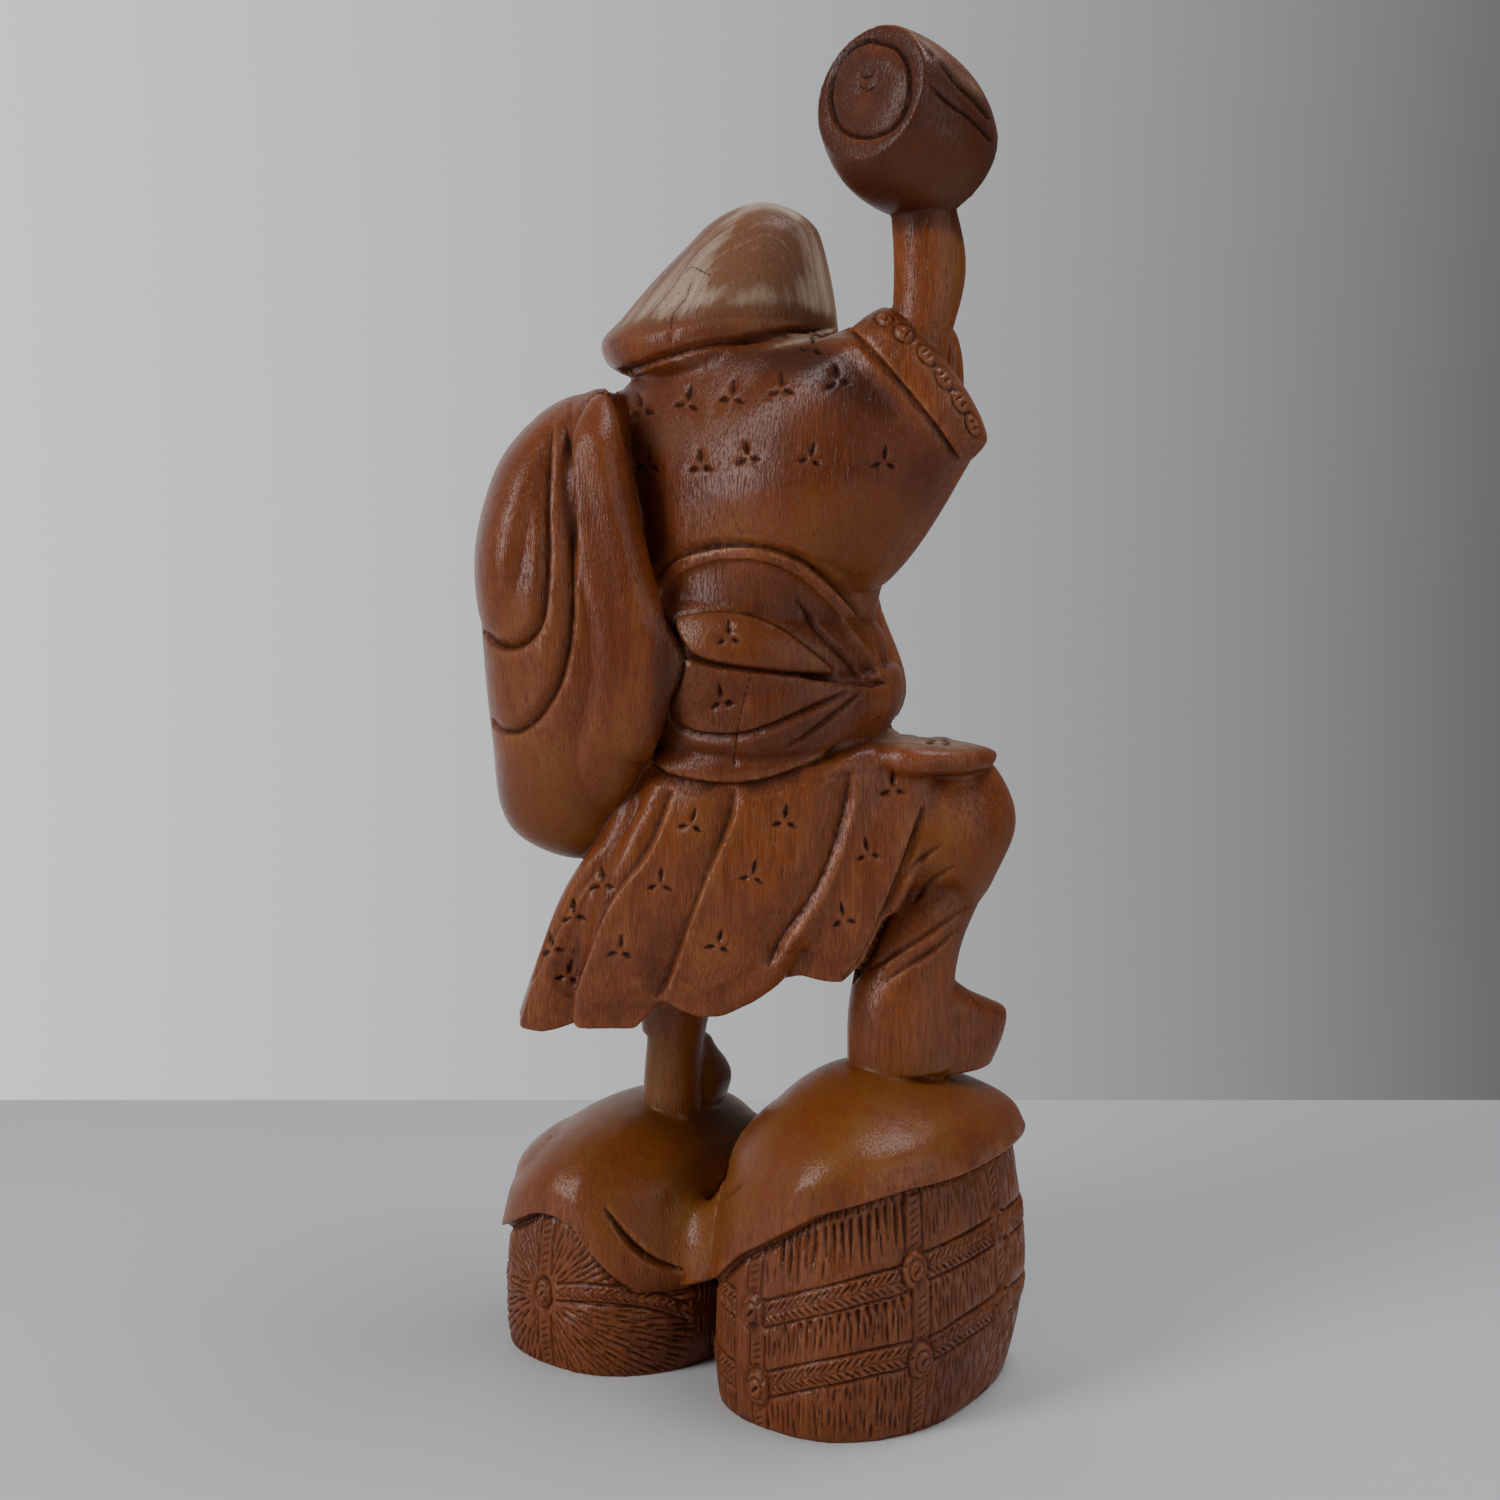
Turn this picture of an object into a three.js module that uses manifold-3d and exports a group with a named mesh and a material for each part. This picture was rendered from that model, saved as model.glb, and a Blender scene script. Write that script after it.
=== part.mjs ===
// A carved wooden figure of a smiling fortune god: mallet raised in the right hand, a sack over the left
// shoulder, one foot on each of two straw rice bales that a cloth covers. The whole is one block of wood.
//
// Millimetres, +Z up. The carving is laid out as seen from behind its right shoulder: x runs to the right,
// y away and z up. The last lines turn it so that the chest faces -Y and stand it on the origin.

import * as THREE from "three";
import { mergeVertices } from "three/addons/utils/BufferGeometryUtils.js";
import Module from "manifold-3d";

const wasm = await Module();
wasm.setup();

const { PI, abs, cos, max, min, sign, sin, sqrt } = Math;
const rad = THREE.MathUtils.degToRad;

// Height of a line of [at, height] points.
function heightOn(line, at) {
  const next = line.findIndex(([end]) => end > at);
  if (next < 1) return line.at(next)[1];
  const [[a0, h0], [a1, h1]] = [line[next - 1], line[next]];
  return h0 + ((h1 - h0) * (at - a0)) / (a1 - a0);
}

// Driving dimensions
const FIGURE_HEIGHT = 450; // from the sole of the right foot to the top of the raised mallet
const CHEST_TURN = 35; // degrees between the direction of the layout's y and the way the chest faces

// Forms laid out by the chest have places [r, f]: r to the figure's own right and f to its front.
const RIGHT_BALE = { width: 115, depth: 150, height: 147, lean: 5 }; // lean is the cloth's, to the left
const RIGHT_PLACE = [44, 34];
const LEFT_BALE = { width: 114, depth: 144, height: 113, lean: -4 };
const LEFT_PLACE = [-78, 28];
const CLOTH = 3.5; // thickness of the cloth over the bales
const DIP = { width: 42, depth: 88 }; // the cloth's saddle between the bales

const MALLET_LENGTH = 54;
const MALLET_END = 27; // radius of the mallet's end faces
const MALLET_BELLY = 33.2; // radius at its middle
const MALLET_AXIS = [-0.606, -0.661, 0.4425];
const MALLET_SKEW = [0.2, 0.1]; // lean of the rear face across the barrel
const MALLET_CENTRE = [64, -37, 403]; // its height is above the right sole

const BED = 100; // depth of the cut that leaves the bales flat below

// The figure was drawn 450 high, its soles at 150 and 116; every station below is a share of its height.
const DRAWN_HEIGHT = 450;
const DRAWN_RIGHT_SOLE = 150;
const DRAWN_LEFT_SOLE = 116;
const unit = FIGURE_HEIGHT / DRAWN_HEIGHT;
const rightSole = RIGHT_BALE.height + CLOTH;
const leftSole = LEFT_BALE.height + CLOTH;

// A ring that shrinks to a rounded tip over the first and the last share of a form's length.
function tipFactor(s, [first, last]) {
  const from = min(1, s / first);
  const to = min(1, (1 - s) / last);
  return sqrt(max(0, 1 - (1 - from) ** 2)) * sqrt(max(0, 1 - (1 - to) ** 2));
}

// A superellipse's cosine or sine: 2 is an ellipse, more is squarer.
const squared = (value, power) => sign(value) * abs(value) ** (2 / power);

// A closed form: a sphere whose rings are carried along a smooth path through stations.
// A station is [x, y, z, half width, half depth]. A level form has horizontal rings, turned by turn
// degrees; any other form has rings square to its path, with the half depth measured along across. A hem
// lifts a form's lower edge to a height at each [x, y]; trim cuts its lower end off at a height at each x.
function form(stations, options = {}) {
  const {
    around = 18,
    along = 12,
    tips = [0.3, 0.3],
    square = 2,
    turn = 0,
    level = true,
    across = [0, 1, 0],
    hem,
    trim,
  } = options;
  const low = stations[0][2];
  const high = stations.at(-1)[2];
  const centres = new THREE.CatmullRomCurve3(
    stations.map(([x, y, z]) => new THREE.Vector3(x, y, z)),
    false,
    "catmullrom",
  );
  const halves = new THREE.CatmullRomCurve3(
    stations.map(([, , , a, b]) => new THREE.Vector3(a, b, 0)),
    false,
    "catmullrom",
  );
  const geometry = new THREE.SphereGeometry(1, around, along);
  const points = geometry.attributes.position;
  const depth = new THREE.Vector3(...across);
  const side = new THREE.Vector3();
  const rise = new THREE.Vector3();
  for (let row = 0; row <= along; row++) {
    const s = (1 - cos((PI * row) / along)) / 2;
    const centre = centres.getPoint(s);
    const half = halves.getPoint(s).multiplyScalar(tipFactor(s, tips));
    if (level) {
      side.set(cos(rad(turn)), sin(rad(turn)), 0);
      rise.set(-sin(rad(turn)), cos(rad(turn)), 0);
    } else {
      const tangent = centres.getTangent(s);
      side.crossVectors(tangent, depth).normalize();
      rise.crossVectors(side, tangent);
    }
    for (let column = 0; column <= around; column++) {
      const angle = (2 * PI * (column % around)) / around;
      const power = square instanceof Function ? square(angle, s) : square;
      const p = centre
        .clone()
        .addScaledVector(side, half.x * squared(cos(angle), power))
        .addScaledVector(rise, half.y * squared(sin(angle), power));
      if (hem) {
        const edge = hem(p.x, p.y);
        p.z = edge + ((p.z - low) * (high - edge)) / (high - low);
      }
      if (trim) p.z = max(p.z, trim(p.x));
      points.setXYZ(row * (around + 1) + column, p.x, p.y, p.z);
    }
  }
  return geometry;
}

// The closed solid of a geometry, its faces turned outward.
function solid(geometry) {
  geometry.deleteAttribute("normal");
  geometry.deleteAttribute("uv");
  const merged = mergeVertices(geometry);
  const vertProperties = merged.attributes.position.array;
  const build = (triVerts) =>
    new wasm.Manifold(new wasm.Mesh({ numProp: 3, vertProperties, triVerts }));
  const made = build(new Uint32Array(merged.index.array));
  return made.volume() > 0
    ? made
    : build(new Uint32Array(merged.index.array).reverse());
}

// A place [r, f] by the chest, r to the figure's own right and f to its front, in the layout's x and y.
const facing = ([r, f, ...rest]) => {
  const c = cos(rad(CHEST_TURN));
  const s = sin(rad(CHEST_TURN));
  return [r * c + f * s, -r * s + f * c, ...rest];
};

// Drawn stations stood on a sole.
const stood = (stations, sole, drawnSole) =>
  stations.map(([x, y, z, a, b]) => [
    x * unit,
    y * unit,
    sole + (z - drawnSole) * unit,
    a * unit,
    b * unit,
  ]);
const raised = (stations) => stood(stations, rightSole, DRAWN_RIGHT_SOLE);

const parts = [];
const add = (geometry) => parts.push(solid(geometry));
const figure = (stations, options) => add(form(raised(stations), options));
const upright = (stations, options) =>
  add(form(raised(stations.map(facing)), { turn: -CHEST_TURN, ...options }));
const reaching = (stations, options) =>
  add(form(raised(stations.map(facing)), { level: false, ...options }));
const leftLeg = (stations, options) =>
  add(form(stood(stations, leftSole, DRAWN_LEFT_SOLE), options));

// The two bales: superellipses in plan, rounder at the corner between the right side and the back.
const corner = (angle) => 3 - 0.8 * cos(angle + PI / 4);
// The cloth is as square as its bale at the hem and round at the top.
const wornCorner = (angle, s) => corner(angle) * (1 - s) + 2 * s;
function bale({ width, depth, height }, [r, f]) {
  const a = width / 2;
  const b = depth / 2;
  const [x, y] = facing([r, f]);
  add(
    form(
      [
        [x - 0.07 * a, y, -0.12 * height, 0.86 * a, 0.88 * b],
        [x - 0.02 * a, y, 0.1 * height, 0.97 * a, 0.97 * b],
        [x + 0.03 * a, y, 0.35 * height, a, b],
        [x + 0.02 * a, y, 0.6 * height, 0.95 * a, 0.95 * b],
        [x, y, 0.8 * height, 0.86 * a, 0.87 * b],
        [x, y, 0.97 * height, 0.5 * a, 0.5 * b],
      ],
      { turn: -CHEST_TURN, square: corner, around: 20, along: 6, tips: [0.002, 0.1] },
    ),
  );
}
bale(RIGHT_BALE, RIGHT_PLACE);
bale(LEFT_BALE, LEFT_PLACE);

// The cloth over them. Its hem sags into the gap and rides up over each bale: [r, z] as shares of a bale's
// width from its middle and of its height.
const LEFT_HEM = [
  [-0.46, 0.46], [-0.3, 0.55], [-0.12, 0.65], [-0.02, 0.66], [0.09, 0.62], [0.22, 0.46], [0.32, 0.38],
  [0.44, 0.37],
];
const RIGHT_HEM = [
  [-0.48, 0.33], [-0.35, 0.4], [-0.19, 0.52], [0, 0.61], [0.17, 0.7], [0.31, 0.74], [0.42, 0.77],
  [0.84, 0.77],
];
const hemOf = (shares, { width, height }, [r]) =>
  shares.map(([across, up]) => [r + across * width, up * height]);
const HEM = [...hemOf(LEFT_HEM, LEFT_BALE, LEFT_PLACE), ...hemOf(RIGHT_HEM, RIGHT_BALE, RIGHT_PLACE)];
const clothHem = (x, y) => heightOn(HEM, x * cos(rad(CHEST_TURN)) - y * sin(rad(CHEST_TURN)));
// A drape leans by shift, to the layout's left, on its way up.
function drape([r, f], stations, { shift = 0, ...options }) {
  const [x, y] = facing([r, f]);
  const last = stations.length - 1;
  add(
    form(
      stations.map(([z, a, b], i) => [x - (shift * i) / last, y, z, a, b]),
      { turn: -CHEST_TURN, around: 20, hem: clothHem, ...options },
    ),
  );
}
function dome({ width, depth, height, lean }, place) {
  const a = width / 2 + CLOTH;
  const b = depth / 2 + CLOTH;
  const top = height + CLOTH;
  drape(
    place,
    [
      [0.5 * top, 0.97 * a, 0.97 * b],
      [0.75 * top, 0.92 * a, 0.93 * b],
      [top, 0.8 * a, 0.82 * b],
    ],
    { shift: lean, square: wornCorner, along: 7, tips: [0.02, 0.75] },
  );
}
dome(RIGHT_BALE, RIGHT_PLACE);
dome(LEFT_BALE, LEFT_PLACE);

// The cloth's saddle between the bales
const dipPlace = [
  (RIGHT_PLACE[0] - RIGHT_BALE.width / 2 + LEFT_PLACE[0] + LEFT_BALE.width / 2) / 2 - CLOTH,
  (RIGHT_PLACE[1] + LEFT_PLACE[1]) / 2 - CLOTH,
];
drape(
  dipPlace,
  [
    [0.35 * LEFT_BALE.height, DIP.width / 2, DIP.depth / 2],
    [0.51 * LEFT_BALE.height, 0.43 * DIP.width, 0.48 * DIP.depth],
    [0.71 * LEFT_BALE.height, 0.24 * DIP.width, 0.39 * DIP.depth],
  ],
  { square: 2.2, along: 5, tips: [0.05, 0.6] },
);

// Right leg: boot, shank, knee
const BOOT_TURN = 25; // degrees of the boots to the layout's x
figure(
  [
    [83, 14, 143, 28, 17],
    [84, 15, 157, 34, 18],
    [84, 15, 168, 36, 17],
    [79, 13, 176, 25, 16],
    [72, 10, 186, 15, 15],
  ],
  { turn: BOOT_TURN, square: 2.4, tips: [0.02, 0.3], around: 14, along: 6 },
);
figure(
  [
    [68, 5, 146, 24, 20],
    [68, 6, 175, 23.5, 20],
    [73.5, 12, 205, 23, 22],
    [86, 20, 240, 28, 24],
  ],
  { tips: [0.02, 0.2], around: 18, along: 7 },
);
figure(
  [
    [48, 8, 224, 20, 20],
    [72, 16, 250, 36, 32],
    [96, 26, 256, 40, 34],
    [120, 36, 256, 27, 26],
  ],
  { level: false, tips: [0.4, 0.5], around: 14, along: 8 },
);

// Left leg: boot, shank, gathered trouser end
leftLeg(
  [
    [-26, 76, 110, 14, 22],
    [-25, 77, 121, 16, 24],
    [-26, 77, 128, 15, 23],
    [-30, 72, 137, 9, 15],
  ],
  { tips: [0.02, 0.3], around: 12, along: 6 },
);
leftLeg(
  [
    [-37, 58, 108, 15, 15],
    [-36.5, 58, 130, 14, 14],
    [-35, 56, 150, 14, 14],
    [-32, 52, 180, 18, 18],
  ],
  { tips: [0.02, 0.1], around: 16, along: 6 },
);

// Skirt: a core and overlapping pleats
figure(
  [
    [-36, 44, 180, 48, 38],
    [-26, 36, 200, 65, 48],
    [0, 32, 250, 70, 56],
    [14, 30, 305, 60, 56],
  ],
  { tips: [0.06, 0.1], square: 2.6, around: 16, along: 5 },
);
const pleats = [
  [
    [56, 4, 294, 16, 14],
    [66, 0, 280, 20, 14],
    [55, -6, 248, 21, 12],
    [41, -8, 218, 20, 11],
    [28, -6, 182, 17, 9],
  ],
  [
    [24, 2, 300, 28, 18],
    [19, -6, 276, 30, 16],
    [6, -13, 240, 30, 13],
    [-8, -13, 210, 29, 11],
    [-24, -7, 168, 23, 9],
  ],
  [
    [-18, 4, 298, 18, 18],
    [-24, -3, 270, 22, 16],
    [-36, -8, 240, 24, 13],
    [-48, -8, 212, 24, 11],
    [-63, -2, 158, 19, 9],
  ],
  [
    [-34, 14, 290, 16, 18],
    [-49, 5, 248, 18, 15],
    [-69, 8, 214, 19, 13],
    [-91, 18, 152, 18, 10],
  ],
  [
    [-48, 36, 280, 14, 24],
    [-60, 32, 235, 14, 22],
    [-79, 38, 196, 16, 20],
    [-97, 42, 152, 14, 16],
  ],
];
const SKIRT_HEM = [
  [-102, 163], [-93, 162], [-84, 165], [-77, 168], [-63, 169], [-51, 169], [-43, 178], [-38, 183], [-30, 178],
  [-21, 175], [-12, 176], [2, 183], [15, 192], [22, 194], [34, 191], [41, 191], [50, 200], [59, 221],
];
const skirtHem = (x) => rightSole + (heightOn(SKIRT_HEM, x / unit) - DRAWN_RIGHT_SOLE) * unit;
for (const stations of pleats)
  figure(stations, {
    level: false,
    tips: [0.1, 0.05],
    around: 12,
    along: 7,
    square: 3.6,
    trim: skirtHem,
  });

// Flap of cloth over the right thigh
figure(
  [
    [50, -2, 291, 8, 14],
    [70, 0, 290, 7.5, 22],
    [92, 8, 288.5, 6.5, 20],
    [110, 18, 288, 4, 9],
  ],
  { level: false, square: 2.8, around: 14, along: 6 },
);

// Waist: lower and upper lens, belly
figure(
  [
    [4, 26, 278, 36, 38],
    [6, 24, 294, 52, 52],
    [9, 24, 314, 60, 59],
    [10, 24, 336, 56, 56],
  ],
  { tips: [0.4, 0.15], around: 20, along: 6 },
);
figure(
  [
    [2, 24, 300, 50, 50],
    [0, 24, 326, 62, 60],
    [-4, 24, 352, 60, 60],
    [-6, 22, 390, 30, 50],
  ],
  { tips: [0.1, 0.5], around: 20, along: 7 },
);

// Torso, right sleeve and cuff
upright(
  [
    [-18, 22, 300, 54, 54],
    [-16, 22, 358, 58, 54],
    [-5, 19, 388, 65, 48],
    [-5, 16, 413, 70, 44],
    [-15, 15, 436, 70, 36],
    [-10, 15, 458, 57, 28],
    [0, 15, 474, 40, 21],
  ],
  { tips: [0.1, 0.12], square: 2.2, around: 18, along: 7 },
);
figure(
  [
    [6, 18, 388, 54, 34],
    [30, 0, 410, 52, 34],
    [52, -14, 432, 45, 28],
    [67, -24, 446, 38, 24],
  ],
  { level: false, tips: [0.3, 0.01], square: 2.5, around: 16, along: 6 },
);
figure(
  [
    [60, -25, 440, 37, 23],
    [73, -26, 451, 37, 24],
    [83, -27, 459, 33, 21],
  ],
  { level: false, tips: [0.1, 0.3], square: 2.6, around: 16, along: 6 },
);
figure(
  [
    [68, -20, 440, 12, 12],
    [71, -27, 469, 12.5, 12.5],
    [74.5, -30, 497, 15, 13],
    [71.5, -32, 521, 13.5, 12.5],
    [68, -32, 545, 12, 11],
  ],
  { level: false, tips: [0.05, 0.05], around: 12, along: 7 },
);
figure(
  [
    [84, -6, 440, 8, 9],
    [85, -5, 462, 6, 9],
    [83, -5, 478, 4, 7],
  ],
  { tips: [0.1, 0.3], around: 8, along: 5 },
);

// Mallet: a short barrel whose rear face is cut askew
{
  const half = MALLET_LENGTH / 2;
  const rings = 6;
  const profile = [new THREE.Vector2(0, -half)];
  for (let i = 0; i <= rings; i++) {
    const along = -half + (2 * half * i) / rings;
    profile.push(
      new THREE.Vector2(MALLET_BELLY - (MALLET_BELLY - MALLET_END) * (along / half) ** 2, along),
    );
  }
  profile.push(new THREE.Vector2(0, half));
  const barrel = new THREE.LatheGeometry(profile, 20);
  const points = barrel.attributes.position;
  const lean = new THREE.Vector2(...MALLET_SKEW);
  for (let i = 0; i < points.count; i++) {
    const share = max(0, points.getY(i) / half);
    const slip = points.getX(i) * lean.x + points.getZ(i) * lean.y;
    points.setY(i, points.getY(i) + share * slip);
  }
  const axis = new THREE.Vector3(...MALLET_AXIS).normalize();
  barrel.applyQuaternion(new THREE.Quaternion().setFromUnitVectors(new THREE.Vector3(0, 1, 0), axis));
  barrel.scale(unit, unit, unit);
  const [x, y, z] = MALLET_CENTRE;
  barrel.translate(x * unit, y * unit, rightSole + z * unit);
  add(barrel);
}

// Head: skull, cheeks, nose, ears and beard
upright(
  [
    [-32, 58, 392, 18, 20],
    [-32, 52, 410, 32, 33],
    [-32, 48, 434, 37, 36],
    [-32, 44, 470, 36, 36],
  ],
  { tips: [0.2, 0.1], around: 12, along: 6 },
);
for (const side of [-1, 1]) {
  upright(
    [
      [-32 + 15 * side, 70, 406, 9, 8],
      [-32 + 16 * side, 72, 425, 13, 12],
    ],
    { tips: [0.5, 0.5], around: 10, along: 6 },
  );
  upright(
    [
      [-32 + 36 * side, 52, 394, 5, 8],
      [-32 + 38 * side, 49, 420, 5, 10],
      [-32 + 38 * side, 46, 446, 6, 12],
    ],
    { tips: [0.3, 0.3], around: 8, along: 5 },
  );
}
upright(
  [
    [-32, 83, 418, 8, 7],
    [-32, 82, 430, 6, 8],
    [-32, 76, 446, 4, 6],
  ],
  { tips: [0.3, 0.2], around: 8, along: 6 },
);
upright(
  [
    [-32, 82, 362, 7, 7],
    [-32, 80, 382, 18, 12],
    [-32, 72, 404, 27, 18],
    [-32, 68, 416, 22, 14],
  ],
  { tips: [0.35, 0.2], around: 10, along: 6 },
);

// Chest and belly, collar bands
upright(
  [
    [-12, 62, 272, 36, 34],
    [-12, 61, 314, 50, 41],
    [-16, 53, 352, 46, 36],
    [-22, 46, 392, 46, 30],
    [-26, 36, 420, 42, 24],
  ],
  { tips: [0.25, 0.1], around: 14, along: 6 },
);
for (const side of [-1, 1])
  reaching(
    [
      [-30 + 34 * side, 50, 414, 7, 7],
      [-26 + 26 * side, 68, 390, 7, 6],
      [-20 + 14 * side, 88, 358, 7, 6],
      [-14 + 2 * side, 99, 330, 7, 5],
    ],
    { tips: [0.15, 0.2], around: 8, along: 6 },
  );

// Left sleeve, hand and the neck of the sack it grips
reaching(
  [
    [-70, 18, 424, 22, 24],
    [-86, 36, 402, 22, 30],
    [-88, 60, 386, 20, 32],
    [-76, 80, 390, 15, 22],
    [-68, 88, 402, 10, 13],
  ],
  { across: [0, 0, 1], tips: [0.2, 0.1], around: 10, along: 7 },
);
reaching(
  [
    [-72, 84, 402, 11, 12],
    [-64, 90, 410, 13, 14],
    [-56, 92, 418, 9, 10],
  ],
  { across: [0, 0, 1], tips: [0.3, 0.4], around: 10, along: 6 },
);
reaching(
  [
    [-84, 4, 420, 20, 20],
    [-84, 34, 440, 14, 15],
    [-76, 62, 438, 11, 12],
    [-66, 84, 418, 9, 10],
    [-64, 94, 400, 11, 11],
  ],
  { across: [1, 0, 0], tips: [0.2, 0.2], around: 10, along: 7 },
);

// Sash knot and its hanging ends
reaching(
  [
    [-36, 96, 286, 9, 9],
    [-14, 104, 288, 10, 10],
    [8, 98, 286, 9, 9],
  ],
  { across: [0, 0, 1], tips: [0.4, 0.4], around: 10, along: 6 },
);
for (const side of [-1, 1])
  reaching(
    [
      [-14, 102, 284, 9, 6],
      [-14 + 10 * side, 103, 256, 11, 6],
      [-14 + 16 * side, 100, 224, 12, 6],
    ],
    { tips: [0.1, 0.08], around: 10, along: 5, square: 2.6 },
  );

// Front of the skirt: pleats from the sash down
const frontPleats = [
  [[46, 62, 290, 18, 20], [58, 72, 256, 19, 16], [66, 74, 222, 17, 12]],
  [[20, 78, 290, 19, 18], [28, 86, 250, 21, 14], [34, 86, 208, 19, 11]],
  [[-12, 86, 290, 19, 16], [-8, 92, 246, 22, 13], [-4, 90, 196, 20, 11]],
  [[-42, 78, 290, 19, 16], [-44, 86, 244, 22, 13], [-44, 86, 184, 20, 11]],
  [[-68, 56, 288, 18, 18], [-78, 64, 242, 20, 14], [-82, 70, 172, 19, 12]],
];
for (const stations of frontPleats)
  reaching(stations, { tips: [0.1, 0.12], around: 8, along: 5, square: 2.6 });

// Left trouser leg
upright(
  [
    [-64, 26, 148, 14, 14],
    [-63, 29, 166, 17, 18],
    [-58, 38, 205, 26, 28],
    [-50, 44, 250, 32, 36],
  ],
  { tips: [0.02, 0.2], around: 12, along: 6 },
);

// Hat
figure(
  [
    [-13, 44, 450, 44, 44],
    [-14, 43, 469, 53, 50],
    [-9, 42, 482, 48, 48],
    [-2.5, 40, 500, 38.5, 40],
    [4, 38, 518, 27, 30],
    [6, 36, 532, 18, 20],
  ],
  { tips: [0.12, 0.2], around: 18, along: 9 },
);

// Sack: its flank over the waist, its body and two lobes
figure(
  [
    [-66, 4, 262, 14, 20],
    [-62, 0, 289, 17, 23],
    [-57, -2, 306, 18.5, 26],
    [-50, -4, 336, 21, 28],
    [-60, -3, 369, 17, 26],
    [-66, -2, 403, 14.5, 22],
    [-67, 0, 426, 11, 20],
    [-64, 4, 446, 6, 12],
  ],
  { square: 3.4, tips: [0.2, 0.15], around: 14, along: 8 },
);
figure(
  [
    [-77, 32, 238, 22, 24],
    [-80, 28, 262, 33, 36],
    [-77, 24, 293, 39, 44],
    [-75, 20, 334, 44, 48],
    [-80, 20, 379, 39, 46],
    [-78, 24, 424, 26, 36],
    [-66, 30, 450, 14, 22],
  ],
  { tips: [0.12, 0.1], around: 14, along: 8 },
);
figure(
  [
    [-88, 24, 292, 22, 26],
    [-92, 20, 325, 26, 36],
    [-92, 20, 379, 27, 40],
    [-86, 24, 420, 22, 34],
    [-74, 28, 448, 12, 20],
  ],
  { tips: [0.2, 0.1], around: 12, along: 8 },
);
figure(
  [
    [-100, 26, 330, 15, 24],
    [-101, 18, 355, 20, 36],
    [-101, 18, 385, 20, 40],
    [-93, 22, 418, 18, 34],
    [-82, 26, 442, 10, 20],
  ],
  { tips: [0.2, 0.1], around: 12, along: 8 },
);

export default (() => {
  const below = new THREE.BoxGeometry(FIGURE_HEIGHT, FIGURE_HEIGHT, BED).translate(0, 0, -BED / 2);
  const whole = parts.reduce((all, next) => all.add(next)).subtract(solid(below));
  const { vertProperties, triVerts } = whole.getMesh();
  const geometry = new THREE.BufferGeometry()
    .setAttribute("position", new THREE.BufferAttribute(vertProperties, 3))
    .setIndex(new THREE.BufferAttribute(triVerts, 1));
  const wood = new THREE.MeshStandardMaterial({ color: 0x7a3f1d, roughness: 0.4, metalness: 0 });
  const mesh = new THREE.Mesh(geometry, wood);
  mesh.name = "daikoku_figure";
  mesh.rotation.z = rad(180 + CHEST_TURN);
  const middle = new THREE.Box3().setFromObject(mesh, true).getCenter(new THREE.Vector3());
  mesh.position.set(-middle.x, -middle.y, 0);
  const group = new THREE.Group();
  group.add(mesh);
  return group;
})();
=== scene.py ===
import math
import random

import bmesh
import bpy
import numpy as np
from mathutils import Matrix, Vector


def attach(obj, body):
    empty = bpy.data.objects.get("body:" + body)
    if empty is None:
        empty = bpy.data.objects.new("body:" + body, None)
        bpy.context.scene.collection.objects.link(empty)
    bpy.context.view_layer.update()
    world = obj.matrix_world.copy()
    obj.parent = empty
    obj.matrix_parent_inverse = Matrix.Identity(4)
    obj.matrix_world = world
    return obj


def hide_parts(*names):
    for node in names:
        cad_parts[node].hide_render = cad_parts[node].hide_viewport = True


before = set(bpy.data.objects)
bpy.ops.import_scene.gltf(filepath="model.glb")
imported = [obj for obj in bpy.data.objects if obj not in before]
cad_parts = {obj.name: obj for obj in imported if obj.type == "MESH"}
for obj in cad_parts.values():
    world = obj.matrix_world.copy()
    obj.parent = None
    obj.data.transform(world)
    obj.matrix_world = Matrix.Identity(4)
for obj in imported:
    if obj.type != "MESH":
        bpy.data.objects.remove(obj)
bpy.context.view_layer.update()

# The carving is made in millimetres in the layout of the solid: x runs to the right, y away and z up as seen
# from behind the figure's right shoulder. The last step turns it to the frame and makes it metres.
MM = 0.001
TURN = math.radians(215)
LAYOUT_ORIGIN = (-14.738, 18.346)  # where the layout's origin stands in the frame
CHEST_TURN = math.radians(35)  # between the layout's y and the way the chest faces

# How fine the block is
FINE_VOXEL = 0.8
TRIANGLES = 196000

# Bales and the cloth over them
RIGHT_BALE = {"width": 115, "depth": 150, "height": 147, "place": (44, 34), "lean": 5}
LEFT_BALE = {"width": 114, "depth": 144, "height": 113, "place": (-78, 28), "lean": -4}
CLOTH = 3.5
RIGHT_SOLE = RIGHT_BALE["height"] + CLOTH
LEFT_SOLE = LEFT_BALE["height"] + CLOTH
DRAWN_SOLE = 150  # the height of the sole that the figure's stations are drawn on
DRAWN_LEFT_SOLE = 116
HEM = [
    (-130, 52), (-112, 62), (-92, 73), (-80, 75), (-68, 70), (-53, 52), (-42, 43), (-28, 42),
    (-11, 49), (4, 59), (22, 76), (44, 90), (63, 103), (80, 109), (92, 113), (140, 113),
]

# Mallet
MALLET_LENGTH = 54
MALLET_END = 27
MALLET_BELLY = 33.2
MALLET_AXIS = (-0.606, -0.661, 0.4425)
MALLET_SKEW = (0.2, 0.1)
MALLET_CENTRE = (64, -37, 403)

# The photograph's camera, in the layout
EYE = (0, -940, 424)
PITCH = math.radians(7.95)
FOCAL = 2150  # pixels of the 1500 pixel frame
FRAME_SIZE = 1500
FRAME_MIDDLE = FRAME_SIZE / 2
PIXEL = 0.44  # millimetres covered by a pixel at the figure
SEEN_LEFT = 440  # the part of the frame that the figure fills
SEEN_RIGHT = 1060
VIEW_CELL = 3.0  # pixels; what hides what is worked out in cells of this size
WEIGHTS = 25  # steps from unsoftened to fully softened


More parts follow.
